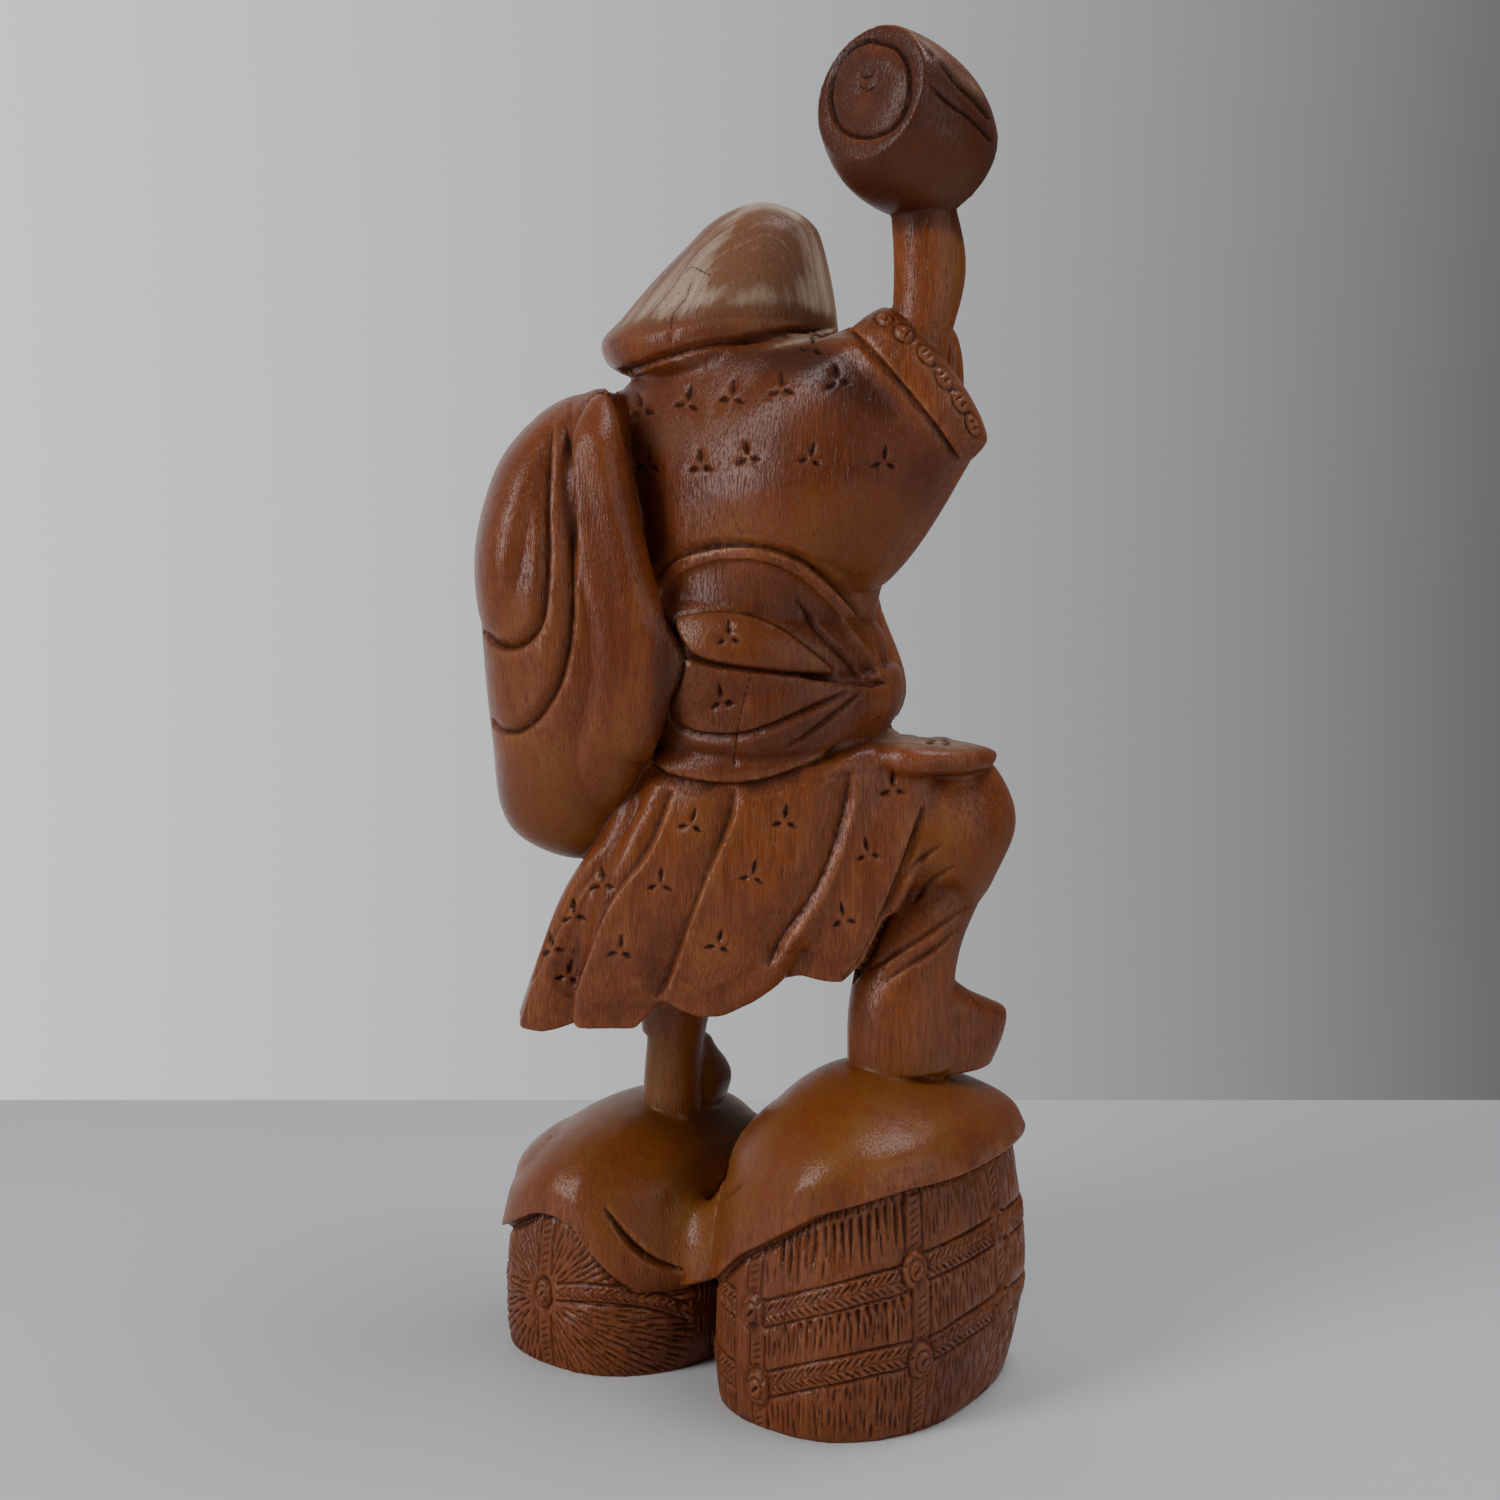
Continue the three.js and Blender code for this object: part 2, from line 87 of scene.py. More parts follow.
# Forms
def catmull(stations, share):
    """Points of the smooth curve through evenly spaced stations."""
    points = np.array(stations, float)
    points = np.vstack([2 * points[0] - points[1], points, 2 * points[-1] - points[-2]])
    place = np.clip(share, 0, 1) * (len(stations) - 1)
    start = np.minimum(place.astype(int), len(stations) - 2)
    t = (place - start)[:, None]
    a, b, c, d = (points[start + i] for i in range(4))
    rise, fall = (c - a) / 2, (d - b) / 2
    return b + rise * t + (3 * (c - b) - 2 * rise - fall) * t**2 + (2 * (b - c) + rise + fall) * t**3


def rounded(share):
    """The height of a quarter circle at a share of its radius from the edge."""
    return np.sqrt(np.clip(1 - (1 - share) ** 2, 0, 1))


def tip_factor(share, first, last):
    """Shrinks a form's rings to a rounded tip over the first and last share of its length."""
    return rounded(np.minimum(1, share / first)) * rounded(np.minimum(1, (1 - share) / last))


def squared(value, power):
    """Cosine or sine of a superellipse: 2 is an ellipse, more is squarer."""
    return np.sign(value) * np.abs(value) ** (2 / power)


def unit_rows(rows):
    return rows / np.maximum(np.linalg.norm(rows, axis=1, keepdims=True), 1e-9)


def turned(x, y, angle):
    """A place in plan, turned about the origin."""
    c, s = math.cos(angle), math.sin(angle)
    return x * c - y * s, x * s + y * c


def profile(value, points):
    """The height at a place of the line through (place, height) points."""
    return np.interp(value, *zip(*points))


def moulded(
    stations, tips=(0.3, 0.3), square=2, turn=0, level=True, across=(0, 1, 0), hem=None, trim=None,
    around=48, along=40,
):
    """A sphere whose rings are carried along a smooth path of stations (x, y, z, half width, half depth)."""
    ball = bmesh.new()
    bmesh.ops.create_uvsphere(ball, u_segments=around, v_segments=along, radius=1)
    unit = np.array([vert.co for vert in ball.verts])
    share = (1 + unit[:, 2]) / 2
    angle = np.arctan2(unit[:, 1], unit[:, 0])
    here = catmull(stations, share)
    half = here[:, 3:5] * tip_factor(share, *tips)[:, None]
    if level:
        side = np.array([math.cos(turn), math.sin(turn), 0])
        rise = np.array([-math.sin(turn), math.cos(turn), 0])
    else:
        step = 1e-4
        ahead, behind = catmull(stations, share + step), catmull(stations, share - step)
        tangent = unit_rows(ahead[:, :3] - behind[:, :3])
        side = unit_rows(np.cross(tangent, np.array(across, float)))
        rise = np.cross(side, tangent)
    power = square(angle, share) if callable(square) else square
    places = (
        here[:, :3]
        + half[:, :1] * squared(np.cos(angle), power)[:, None] * side
        + half[:, 1:] * squared(np.sin(angle), power)[:, None] * rise
    )
    if hem:
        low, high = stations[0][2], stations[-1][2]
        edge = hem(places[:, 0], places[:, 1])
        places[:, 2] = edge + (places[:, 2] - low) * (high - edge) / (high - low)
    if trim:
        places[:, 2] = np.maximum(places[:, 2], trim(places[:, 0]))
    for vert, place in zip(ball.verts, places):
        vert.co = place
    bmesh.ops.recalc_face_normals(ball, faces=ball.faces)
    return ball


def join(block, ball):
    """Adds a finished form to the block."""
    mesh = bpy.data.meshes.new("form")
    ball.to_mesh(mesh)
    ball.free()
    block.from_mesh(mesh)
    bpy.data.meshes.remove(mesh)


def form(block, stations, **options):
    join(block, moulded(stations, **options))


def facing(stations):
    """Places (r, f) by the chest, r to the figure's own right and f to its front, in the layout's x and y."""
    return [(*turned(r, f, -CHEST_TURN), *rest) for r, f, *rest in stations]


def chest_places(x, y):
    """How far places in the layout lie to the figure's own right and to its front."""
    return turned(x, y, CHEST_TURN)


def raised(stations, sole=RIGHT_SOLE, drawn=DRAWN_SOLE):
    """Stations moved from the sole that they are drawn on to the real one."""
    return [(x, y, z + sole - drawn, a, b) for x, y, z, a, b in stations]


def figure(block, stations, **options):
    form(block, raised(stations), **options)


def upright(block, stations, **options):
    form(block, raised(facing(stations)), turn=-CHEST_TURN, **options)


def reaching(block, stations, **options):
    form(block, raised(facing(stations)), level=False, **options)


def left_leg(block, stations, **options):
    form(block, raised(stations, LEFT_SOLE, DRAWN_LEFT_SOLE), **options)


def corner(angle, share=0):
    """How square a bale's plan is: rounder between its right side and its back."""
    return 3 - 0.8 * np.cos(angle + math.pi / 4)


def worn_corner(angle, share):
    """The cloth's plan, as square as the bale at the hem and round at the top."""
    return corner(angle) * (1 - share) + 2 * share


def cloth_hem(x, y):
    return profile(chest_places(x, y)[0], HEM)


def bale(block, spec):
    a, b, height = spec["width"] / 2, spec["depth"] / 2, spec["height"]
    ((x, y),) = facing([spec["place"]])
    form(
        block,
        [
            (x - 0.07 * a, y, -0.12 * height, 0.86 * a, 0.88 * b),
            (x - 0.02 * a, y, 0.1 * height, 0.97 * a, 0.97 * b),
            (x + 0.03 * a, y, 0.35 * height, a, b),
            (x + 0.02 * a, y, 0.6 * height, 0.95 * a, 0.95 * b),
            (x, y, 0.8 * height, 0.86 * a, 0.87 * b),
            (x, y, 0.97 * height, 0.5 * a, 0.5 * b),
        ],
        turn=-CHEST_TURN, square=corner, tips=(0.002, 0.1), around=96, along=40,
    )


def drape(block, place, stations, shift=0, **options):
    """Cloth over a place, down to the hem."""
    ((x, y),) = facing([place])
    last = len(stations) - 1
    stations = [(x - shift * i / last, y, z, a, b) for i, (z, a, b) in enumerate(stations)]
    form(block, stations, turn=-CHEST_TURN, hem=cloth_hem, around=96, along=48, **options)


def dome(block, spec):
    a, b, top = spec["width"] / 2 + CLOTH, spec["depth"] / 2 + CLOTH, spec["height"] + CLOTH
    low, middle = (0.5 * top, 0.97 * a, 0.97 * b), (0.75 * top, 0.92 * a, 0.93 * b)
    stations = [low, middle, (top, 0.8 * a, 0.82 * b)]
    drape(block, spec["place"], stations, square=worn_corner, tips=(0.02, 0.75), shift=spec["lean"])


def bales_and_cloth(block):
    for spec in (RIGHT_BALE, LEFT_BALE):
        bale(block, spec)
        dome(block, spec)
    drape(block, (-20.75, 27.5), [(39.5, 21, 44), (58, 18, 42), (80, 10, 34)], square=2.2, tips=(0.05, 0.6))
    fold = [(39.5, 24, 17), (60, 22, 16), (90, 14, 11)]
    drape(block, (-16, 12), fold, square=2.2, tips=(0.05, 0.7), shift=-7)
    drape(block, (-20, -2), [(39.5, 15, 15), (66, 15, 15), (92, 10, 10)], tips=(0.05, 0.8), shift=-7)


def legs(block):
    boot = [
        (83, 14, 143, 28, 17), (84, 15, 157, 34, 18), (84, 15, 168, 36, 17), (81, 13, 173, 32, 17),
        (77, 12, 179, 24, 17), (72, 11, 187, 19.5, 17), (69, 10, 198, 18, 16),
    ]
    shank = [(68, 5, 146, 24, 20), (68, 6, 175, 23.5, 20), (73.5, 12, 205, 23, 22), (86, 20, 240, 28, 24)]
    knee = [(48, 8, 224, 20, 20), (72, 16, 250, 36, 32), (96, 26, 256, 40, 34), (120, 36, 256, 27, 26)]
    figure(block, boot, turn=math.radians(25), square=2.4, tips=(0.02, 0.05))
    figure(block, shank, tips=(0.02, 0.2))
    figure(block, knee, level=False, tips=(0.4, 0.5))
    boot = [
        (-26, 76, 110, 14, 22), (-25, 77, 121, 16, 24), (-26, 76, 128, 15, 22), (-30, 70, 137, 14, 17),
        (-33, 64, 147, 13, 14),
    ]
    shank = [(-37, 58, 108, 15, 15), (-36.5, 58, 130, 14, 14), (-35, 56, 150, 14, 14), (-32, 52, 180, 18, 18)]
    trouser = [(-64, 26, 148, 14, 14), (-63, 29, 166, 17, 18), (-58, 38, 205, 26, 28), (-50, 44, 250, 32, 36)]
    left_leg(block, boot, tips=(0.02, 0.1))
    left_leg(block, shank, tips=(0.02, 0.1))
    upright(block, trouser, tips=(0.02, 0.2))


PLEATS = [
    [
        (57, 4, 285, 12, 12), (64, 0, 273, 18, 13), (55, -6, 248, 21, 12), (41, -8, 218, 20, 11),
        (28, -6, 182, 17, 9),
    ],
    [
        (24, 2, 300, 28, 18), (19, -6, 276, 30, 16), (6, -13, 240, 30, 13), (-8, -13, 210, 29, 11),
        (-24, -7, 168, 23, 9),
    ],
    [
        (-18, 4, 298, 18, 18), (-24, -3, 270, 22, 16), (-36, -8, 240, 24, 13), (-48, -8, 212, 24, 11),
        (-63, -2, 158, 19, 9),
    ],
    [(-34, 14, 290, 16, 18), (-49, 5, 248, 18, 15), (-69, 8, 214, 19, 13), (-91, 18, 152, 18, 10)],
    [(-48, 36, 280, 14, 24), (-60, 32, 235, 14, 22), (-79, 38, 196, 16, 20), (-97, 42, 152, 14, 16)],
]
SKIRT_HEM = [
    (-102, 163), (-93, 162), (-84, 165), (-77, 168), (-63, 169), (-51, 169), (-43, 178), (-38, 183),
    (-30, 178), (-21, 175), (-12, 176), (2, 183), (15, 192), (22, 194), (34, 191), (41, 191), (50, 200),
    (59, 221),
]
FRONT_PLEATS = [
    [(46, 62, 290, 18, 20), (58, 72, 256, 19, 16), (66, 74, 222, 17, 12)],
    [(20, 78, 290, 19, 18), (28, 86, 250, 21, 14), (34, 86, 208, 19, 11)],
    [(-12, 86, 290, 19, 16), (-8, 92, 246, 22, 13), (-4, 90, 196, 20, 11)],
    [(-42, 78, 290, 19, 16), (-44, 86, 244, 22, 13), (-44, 86, 184, 20, 11)],
    [(-68, 56, 288, 18, 18), (-78, 64, 242, 20, 14), (-82, 70, 172, 19, 12)],
]


def skirt_hem(x):
    return profile(x, SKIRT_HEM) + RIGHT_SOLE - DRAWN_SOLE


def skirt(block):
    core = [(-36, 44, 180, 48, 38), (-26, 36, 200, 65, 48), (0, 32, 250, 70, 56), (14, 30, 305, 60, 56)]
    figure(block, core, tips=(0.06, 0.1), square=2.6)
    for pleat in PLEATS:
        figure(block, pleat, level=False, tips=(0.1, 0.05), square=3.6, trim=skirt_hem)
    for pleat in FRONT_PLEATS:
        reaching(block, pleat, tips=(0.1, 0.12), square=2.8)
    flap = [(50, -2, 291, 8, 14), (70, 0, 290, 7.5, 22), (92, 8, 288.5, 6.5, 20), (110, 18, 288, 4, 9)]
    figure(block, flap, level=False, square=2.8)


def waist(block):
    lower = [(4, 26, 278, 36, 38), (6, 24, 294, 52, 52), (9, 24, 314, 60, 59), (10, 24, 336, 56, 56)]
    upper = [(2, 24, 300, 50, 50), (0, 24, 326, 62, 60), (-4, 24, 352, 60, 60), (-6, 22, 390, 30, 50)]
    figure(block, lower, tips=(0.4, 0.15))
    figure(block, upper, tips=(0.1, 0.5))
    knot = [(-36, 96, 286, 9, 9), (-14, 104, 288, 10, 10), (8, 98, 286, 9, 9)]
    reaching(block, knot, across=(0, 0, 1), tips=(0.4, 0.4))
    for side in (-1, 1):
        end = [(-14, 102, 284, 9, 6), (-14 + 10 * side, 103, 256, 11, 6), (-14 + 16 * side, 100, 224, 12, 6)]
        reaching(block, end, tips=(0.1, 0.08), square=2.6)


def torso(block):
    back = [
        (-18, 22, 300, 54, 54), (-16, 22, 358, 58, 54), (-5, 19, 388, 65, 48), (-5, 16, 413, 70, 44),
        (-15, 15, 436, 70, 36), (-10, 15, 458, 57, 28), (0, 15, 474, 40, 21),
    ]
    chest = [
        (-12, 62, 272, 36, 34), (-12, 61, 314, 50, 41), (-16, 53, 352, 46, 36),
        (-22, 46, 392, 46, 30), (-26, 36, 420, 42, 24),
    ]
    upright(block, back, tips=(0.1, 0.12), square=2.2)
    upright(block, chest, tips=(0.25, 0.1))
    for side in (-1, 1):
        band = [
            (-30 + 34 * side, 50, 414, 7, 7), (-26 + 26 * side, 68, 390, 7, 6),
            (-20 + 14 * side, 88, 358, 7, 6), (-14 + 2 * side, 99, 330, 7, 5),
        ]
        reaching(block, band, tips=(0.15, 0.2))


def right_arm(block):
    sleeve = [(6, 18, 388, 54, 34), (30, 0, 410, 52, 34), (52, -14, 432, 45, 28), (67, -24, 446, 38, 24)]
    cuff = [(60, -25, 440, 37, 23), (73, -26, 451, 37, 24), (83, -27, 459, 33, 21)]
    forearm = [
        (68, -20, 440, 12, 12), (71, -27, 469, 12.5, 12.5), (74.5, -30, 497, 15, 13),
        (71.5, -32, 521, 13.5, 12.5), (68, -32, 545, 12, 11),
    ]
    lining = [(84, -6, 440, 8, 9), (85, -5, 462, 6, 9), (83, -5, 478, 4, 7)]
    figure(block, sleeve, level=False, tips=(0.3, 0.01), square=2.5)
    figure(block, cuff, level=False, tips=(0.1, 0.3), square=2.6)
    figure(block, forearm, level=False, tips=(0.05, 0.05))
    figure(block, lining, tips=(0.1, 0.3))


def mallet_frame():
    """The matrix that stands the mallet's own axes, its length along y, in the layout."""
    lean = Vector((0, 1, 0)).rotation_difference(Vector(MALLET_AXIS).normalized())
    x, y, z = MALLET_CENTRE
    return Matrix.Translation((x, y, z + RIGHT_SOLE)) @ lean.to_matrix().to_4x4()


def mallet(block):
    half = MALLET_LENGTH / 2
    bands = 7
    stations = []
    for i in range(bands):
        along = -half + 2 * half * i / (bands - 1)
        radius = MALLET_BELLY - (MALLET_BELLY - MALLET_END) * (along / half) ** 2
        stations.append((0, along, 0, radius, radius))
    barrel = moulded(stations, level=False, across=(0, 0, 1), tips=(0.006, 0.006), along=64)
    for vert in barrel.verts:
        share = max(0, vert.co.y / half)
        vert.co.y += share * (vert.co.x * MALLET_SKEW[0] + vert.co.z * MALLET_SKEW[1])
    bmesh.ops.transform(barrel, matrix=mallet_frame(), verts=barrel.verts)
    join(block, barrel)


def head(block):
    skull = [(-32, 58, 392, 18, 20), (-32, 52, 410, 32, 33), (-32, 48, 434, 37, 36), (-32, 44, 470, 36, 36)]
    nose = [(-32, 83, 418, 8, 7), (-32, 82, 430, 6, 8), (-32, 76, 446, 4, 6)]
    beard = [(-32, 82, 362, 7, 7), (-32, 80, 382, 18, 12), (-32, 72, 404, 27, 18), (-32, 68, 416, 22, 14)]
    upright(block, skull, tips=(0.2, 0.1))
    upright(block, nose, tips=(0.3, 0.2))
    upright(block, beard, tips=(0.35, 0.2))
    for side in (-1, 1):
        cheek = [(-32 + 15 * side, 70, 406, 9, 8), (-32 + 16 * side, 72, 425, 13, 12)]
        ear = [
            (-32 + 36 * side, 52, 394, 5, 8), (-32 + 38 * side, 49, 420, 5, 10),
            (-32 + 38 * side, 46, 446, 6, 12),
        ]
        upright(block, cheek, tips=(0.5, 0.5))
        upright(block, ear)


def left_arm(block):
    sleeve = [
        (-70, 18, 424, 22, 24), (-86, 36, 402, 22, 30), (-88, 60, 386, 20, 32), (-76, 80, 390, 15, 22),
        (-68, 88, 402, 10, 13),
    ]
    hand = [(-72, 84, 402, 11, 12), (-64, 90, 410, 13, 14), (-56, 92, 418, 9, 10)]
    neck = [
        (-84, 4, 420, 20, 20), (-84, 34, 440, 14, 15), (-76, 62, 438, 11, 12), (-66, 84, 418, 9, 10),
        (-64, 94, 400, 11, 11),
    ]
    reaching(block, sleeve, across=(0, 0, 1), tips=(0.2, 0.1))
    reaching(block, hand, across=(0, 0, 1), tips=(0.3, 0.4))
    reaching(block, neck, across=(1, 0, 0), tips=(0.2, 0.2))


def hat(block):
    crown = [
        (-13, 44, 450, 44, 44), (-14, 43, 469, 53, 50), (-9, 42, 482, 48, 48),
        (-2.5, 40, 500, 38.5, 40), (4, 38, 518, 27, 30), (6, 36, 532, 18, 20),
    ]
    figure(block, crown, tips=(0.12, 0.2), around=64)


def sack(block):
    body = [
        (-77, 32, 238, 22, 24), (-80, 28, 262, 33, 36), (-77, 24, 293, 39, 44), (-75, 20, 334, 44, 48),
        (-80, 20, 379, 39, 46), (-78, 24, 424, 26, 36), (-66, 30, 450, 14, 22),
    ]
    inner = [
        (-88, 24, 292, 22, 26), (-92, 20, 325, 26, 36), (-92, 20, 379, 27, 40), (-86, 24, 420, 22, 34),
        (-74, 28, 448, 12, 20),
    ]
    outer = [
        (-100, 26, 330, 15, 24), (-101, 18, 355, 20, 36), (-101, 18, 385, 20, 40), (-93, 22, 418, 18, 34),
        (-82, 26, 442, 10, 20),
    ]
    flank = [
        (-66, 4, 262, 14, 20), (-62, 0, 289, 17, 23), (-57, -2, 306, 18.5, 26), (-50, -4, 336, 21, 28),
        (-60, -3, 369, 17, 26), (-66, -2, 403, 14.5, 22), (-67, 0, 426, 11, 20), (-64, 4, 446, 6, 12),
    ]
    figure(block, flank, square=3.4, tips=(0.2, 0.15))
    figure(block, body, tips=(0.12, 0.1), around=64)
    for lobe in (inner, outer):
        figure(block, lobe, tips=(0.2, 0.1), around=64)


# The block
def modified(piece, kind, **values):
    """Puts one modifier on the piece and applies it."""
    modifier = piece.modifiers.new(kind.lower(), kind)
    for name, value in values.items():
        setattr(modifier, name, value)
    bpy.context.view_layer.update()
    evaluated = piece.evaluated_get(bpy.context.evaluated_depsgraph_get())
    finished = bpy.data.meshes.new_from_object(evaluated)
    piece.modifiers.clear()
    old, piece.data = piece.data, finished
    bpy.data.meshes.remove(old)


def smoothed(piece, rounds, **options):
    modified(piece, "SMOOTH", factor=0.5, iterations=rounds, **options)


def places_of(piece):
    places = np.empty(len(piece.data.vertices) * 3, np.float32)
    piece.data.vertices.foreach_get("co", places)
    return places.reshape(-1, 3).astype(float)


def move_to(piece, places):
    piece.data.vertices.foreach_set("co", places.astype(np.float32).ravel())
    piece.data.update()


def normals_of(piece):
    normals = np.empty(len(piece.data.vertices) * 3, np.float32)
    piece.data.vertex_normals.foreach_get("vector", normals)
    return normals.reshape(-1, 3).astype(float)


def carved_block():
    """All forms as one closed body."""
    block = bmesh.new()
    for make in (bales_and_cloth, legs, skirt, waist, torso, right_arm, mallet, head, left_arm, hat, sack):
        make(block)
    mesh = bpy.data.meshes.new("carving")
    block.to_mesh(mesh)
    block.free()
    piece = bpy.data.objects.new("carving", mesh)
    bpy.context.scene.collection.objects.link(piece)
    voxel = FINE_VOXEL
    modified(piece, "REMESH", mode="VOXEL", voxel_size=voxel, adaptivity=0)
    smoothed(piece, 6)
    return piece


# Drawing relief
def eased(value, low, high):
    t = np.clip((value - low) / (high - low), 0, 1)
    return t * t * (3 - 2 * t)


def tapered(share, taper):
    """1 along a line, thinning over the first and last share of its length."""
    first, last = (max(part, 1e-3) for part in taper)
    return np.sqrt(np.clip(share / first, 0, 1) * np.clip((1 - share) / last, 0, 1))


class Board:
    """A board that relief is drawn on: heights on a grid of cells, its unit being so many millimetres."""

    def __init__(self, left, top, right, bottom, cell, unit):
        self.left, self.top, self.cell, self.unit = left, top, cell, unit
        self.columns = int((right - left) / cell) + 2
        self.rows = int((bottom - top) / cell) + 2
        self.heights = np.zeros((self.rows, self.columns))

    def window(self, points, reach):
        """The cells within reach of the points, as a slice and their places."""
        low = (np.min(points, axis=0) - reach / self.unit - (self.left, self.top)) / self.cell
        high = (np.max(points, axis=0) + reach / self.unit - (self.left, self.top)) / self.cell
        c0, r0 = np.clip(low.astype(int), 0, (self.columns - 1, self.rows - 1))
        c1, r1 = np.clip(high.astype(int) + 2, 1, (self.columns, self.rows))
        across = self.left + np.arange(c0, c1) * self.cell
        down = self.top + np.arange(r0, r1) * self.cell
        return (slice(r0, r1), slice(c0, c1)), across, down

    def measure(self, line, reach):
        """A line's window, and there the distance to it in millimetres, the side and the share passed."""
        where, across, down = self.window(line, reach)
        shape = (len(down), len(across))
        distance = np.full(shape, 1e6)
        share = np.zeros(shape)
        side = np.ones(shape)
        lengths = np.linalg.norm(np.diff(line, axis=0), axis=1)
        total = max(lengths.sum(), 1e-9)
        done = 0.0
        for (ax, ay), (bx, by), length in zip(line[:-1], line[1:], lengths):
            margin = reach / self.unit
            i0, i1 = np.searchsorted(across, (min(ax, bx) - margin, max(ax, bx) + margin))
            j0, j1 = np.searchsorted(down, (min(ay, by) - margin, max(ay, by) + margin))
            if i0 < i1 and j0 < j1 and length > 0:
                px, py = np.meshgrid(across[i0:i1] - ax, down[j0:j1] - ay)
                dx, dy = (bx - ax) / length, (by - ay) / length
                t = np.clip(px * dx + py * dy, 0, length)
                away = np.hypot(px - t * dx, py - t * dy) * self.unit
                sub = (slice(j0, j1), slice(i0, i1))
                nearer = away < distance[sub]
                distance[sub][nearer] = away[nearer]
                share[sub][nearer] = ((done + t) / total)[nearer]
                side[sub][nearer] = np.where(dx * py - dy * px > 0, 1.0, -1.0)[nearer]
            done += length
        return where, distance, side, share

    def smooth_line(self, points, closed=False):
        """The points of a smooth line through a few points."""
        if closed:
            points = [*points[-2:], *points, *points[:2]]
        steps = 6 * (len(points) - 1) + 1
        line = catmull(points, np.linspace(0, 1, steps)) if len(points) > 2 else np.array(points, float)
        return line[12:-6] if closed else line

    def fold(self, points, depth, left, right, crest=(0, 0), taper=(0.15, 0.15), sharp=1.0):
        """A groove with a bank, and a crest on it, to the left and the right of its way, in millimetres."""
        reach = max(left, right) + 6 * (max(crest) > 0) + 1
        where, distance, side, share = self.measure(self.smooth_line(points), reach)
        fade = tapered(share, taper)
        width = np.where(side > 0, right, left) * (0.35 + 0.65 * fade)
        bank = np.clip(1 - distance / width, 0, 1) ** sharp
        lip = np.where(side > 0, crest[1], crest[0]) * np.exp(-(((distance - width) / 2.5) ** 2))
        self.heights[where] += fade * (lip - depth * bank)

    def cut(self, points, width, depth, taper=(0.5, 0.5)):
        """A V cut that swells and thins like a gouge's."""
        where, distance, _, share = self.measure(self.smooth_line(points), width)
        swell = tapered(share, taper)
        hollow = -depth * swell * np.clip(1 - distance / np.maximum(0.5 * width * swell, 0.05), 0, 1)
        before = self.heights[where]
        self.heights[where] = np.where(hollow < 0, np.minimum(before, 0.5 * before + hollow), before)

    def step(self, points, height, high, low, depth=0.0, ditch=1.5, taper=(0.1, 0.1)):
        """An overlapping edge, raised on the left over high millimetres, with a ditch on the right."""
        where, distance, side, share = self.measure(self.smooth_line(points), max(high, low, ditch) + 1)
        fade = tapered(share, taper)
        upper = (1 - eased(distance, 0, high)) * np.clip(0.55 + distance / low, 0, 1)
        lower = np.clip(1 - distance / ditch, 0, 1)
        self.heights[where] += fade * np.where(side < 0, height * upper, -depth * lower)

    def inside(self, line, across, down):
        """Which cells lie inside a closed line."""
        inner = np.zeros((len(down), len(across)), bool)
        ends = np.roll(line, -1, axis=0)
        for row, y in enumerate(down):
            crosses = (line[:, 1] > y) != (ends[:, 1] > y)
            if crosses.any():
                (ax, ay), (bx, by) = line[crosses].T, ends[crosses].T
                at = np.sort(ax + (y - ay) * (bx - ax) / (by - ay))
                inner[row] = np.searchsorted(at, across) % 2 == 1
        return inner

    def layer(self, outline, height, rounding, ditch=0.0, ditch_width=2.0):
        """A raised layer with a rounded edge and a ditch along it."""
        line = self.smooth_line(outline, closed=True)
        ring = np.vstack([line, line[:1]])
        reach = max(rounding, ditch_width) + 2
        where, distance, _, _ = self.measure(ring, reach)
        _, across, down = self.window(ring, reach)
        inner = self.inside(line, across, down)
        full = rounded(np.clip(distance / rounding, 0, 1))
        outer = -ditch * np.clip(1 - distance / ditch_width, 0, 1) ** 2
        self.heights[where] += np.where(inner, height * full, outer)

    def knob(self, centre, half, height, turn=0.0):
        """A rounded oval knob with a ditch round it."""
        c, s = math.cos(turn), math.sin(turn)
        where, across, down = self.window(np.array([centre]), 2.2 * max(half) * self.unit + 1)
        px, py = np.meshgrid(across - centre[0], down - centre[1])
        far = np.hypot((px * c + py * s) / half[0], (py * c - px * s) / half[1])
        dome_shape = np.sqrt(np.clip(1 - far**2, 0, 1))
        ditch = -0.6 * np.exp(-(((far - 1.05) / 0.22) ** 2))
        before = self.heights[where]
        self.heights[where] = np.where(far < 1.15, 0.3 * before, before) + height * (dome_shape + ditch)

    def trefoil(self, centre, size=19.0, turn=0.0):
        """Three leaf cuts around a point, the upper one longest."""
        x, y = centre
        for angle, share in ((-88, 1.0), (22, 0.72), (160, 0.78)):
            a = math.radians(angle) + turn
            near = (x + 0.12 * size * math.cos(a), y + 0.12 * size * math.sin(a))
            far = (x + share * size * math.cos(a), y + share * size * math.sin(a))
            self.cut([near, far], 0.42 * size * self.unit, 1.8, taper=(0.35, 0.6))

    def at(self, u, v):
        """Heights at places on the board."""
        column = np.clip((u - self.left) / self.cell, 0, self.columns - 1.001)
        row = np.clip((v - self.top) / self.cell, 0, self.rows - 1.001)
        c, r = column.astype(int), row.astype(int)
        s, t = column - c, row - r
        h = self.heights
        above = h[r, c] * (1 - s) + h[r, c + 1] * s
        below = h[r + 1, c] * (1 - s) + h[r + 1, c + 1] * s
        return above * (1 - t) + below * t


def frame_board(cell):
    """A board of frame pixels, over the part that the figure fills."""
    return Board(SEEN_LEFT, 0, SEEN_RIGHT, FRAME_SIZE, cell, PIXEL)


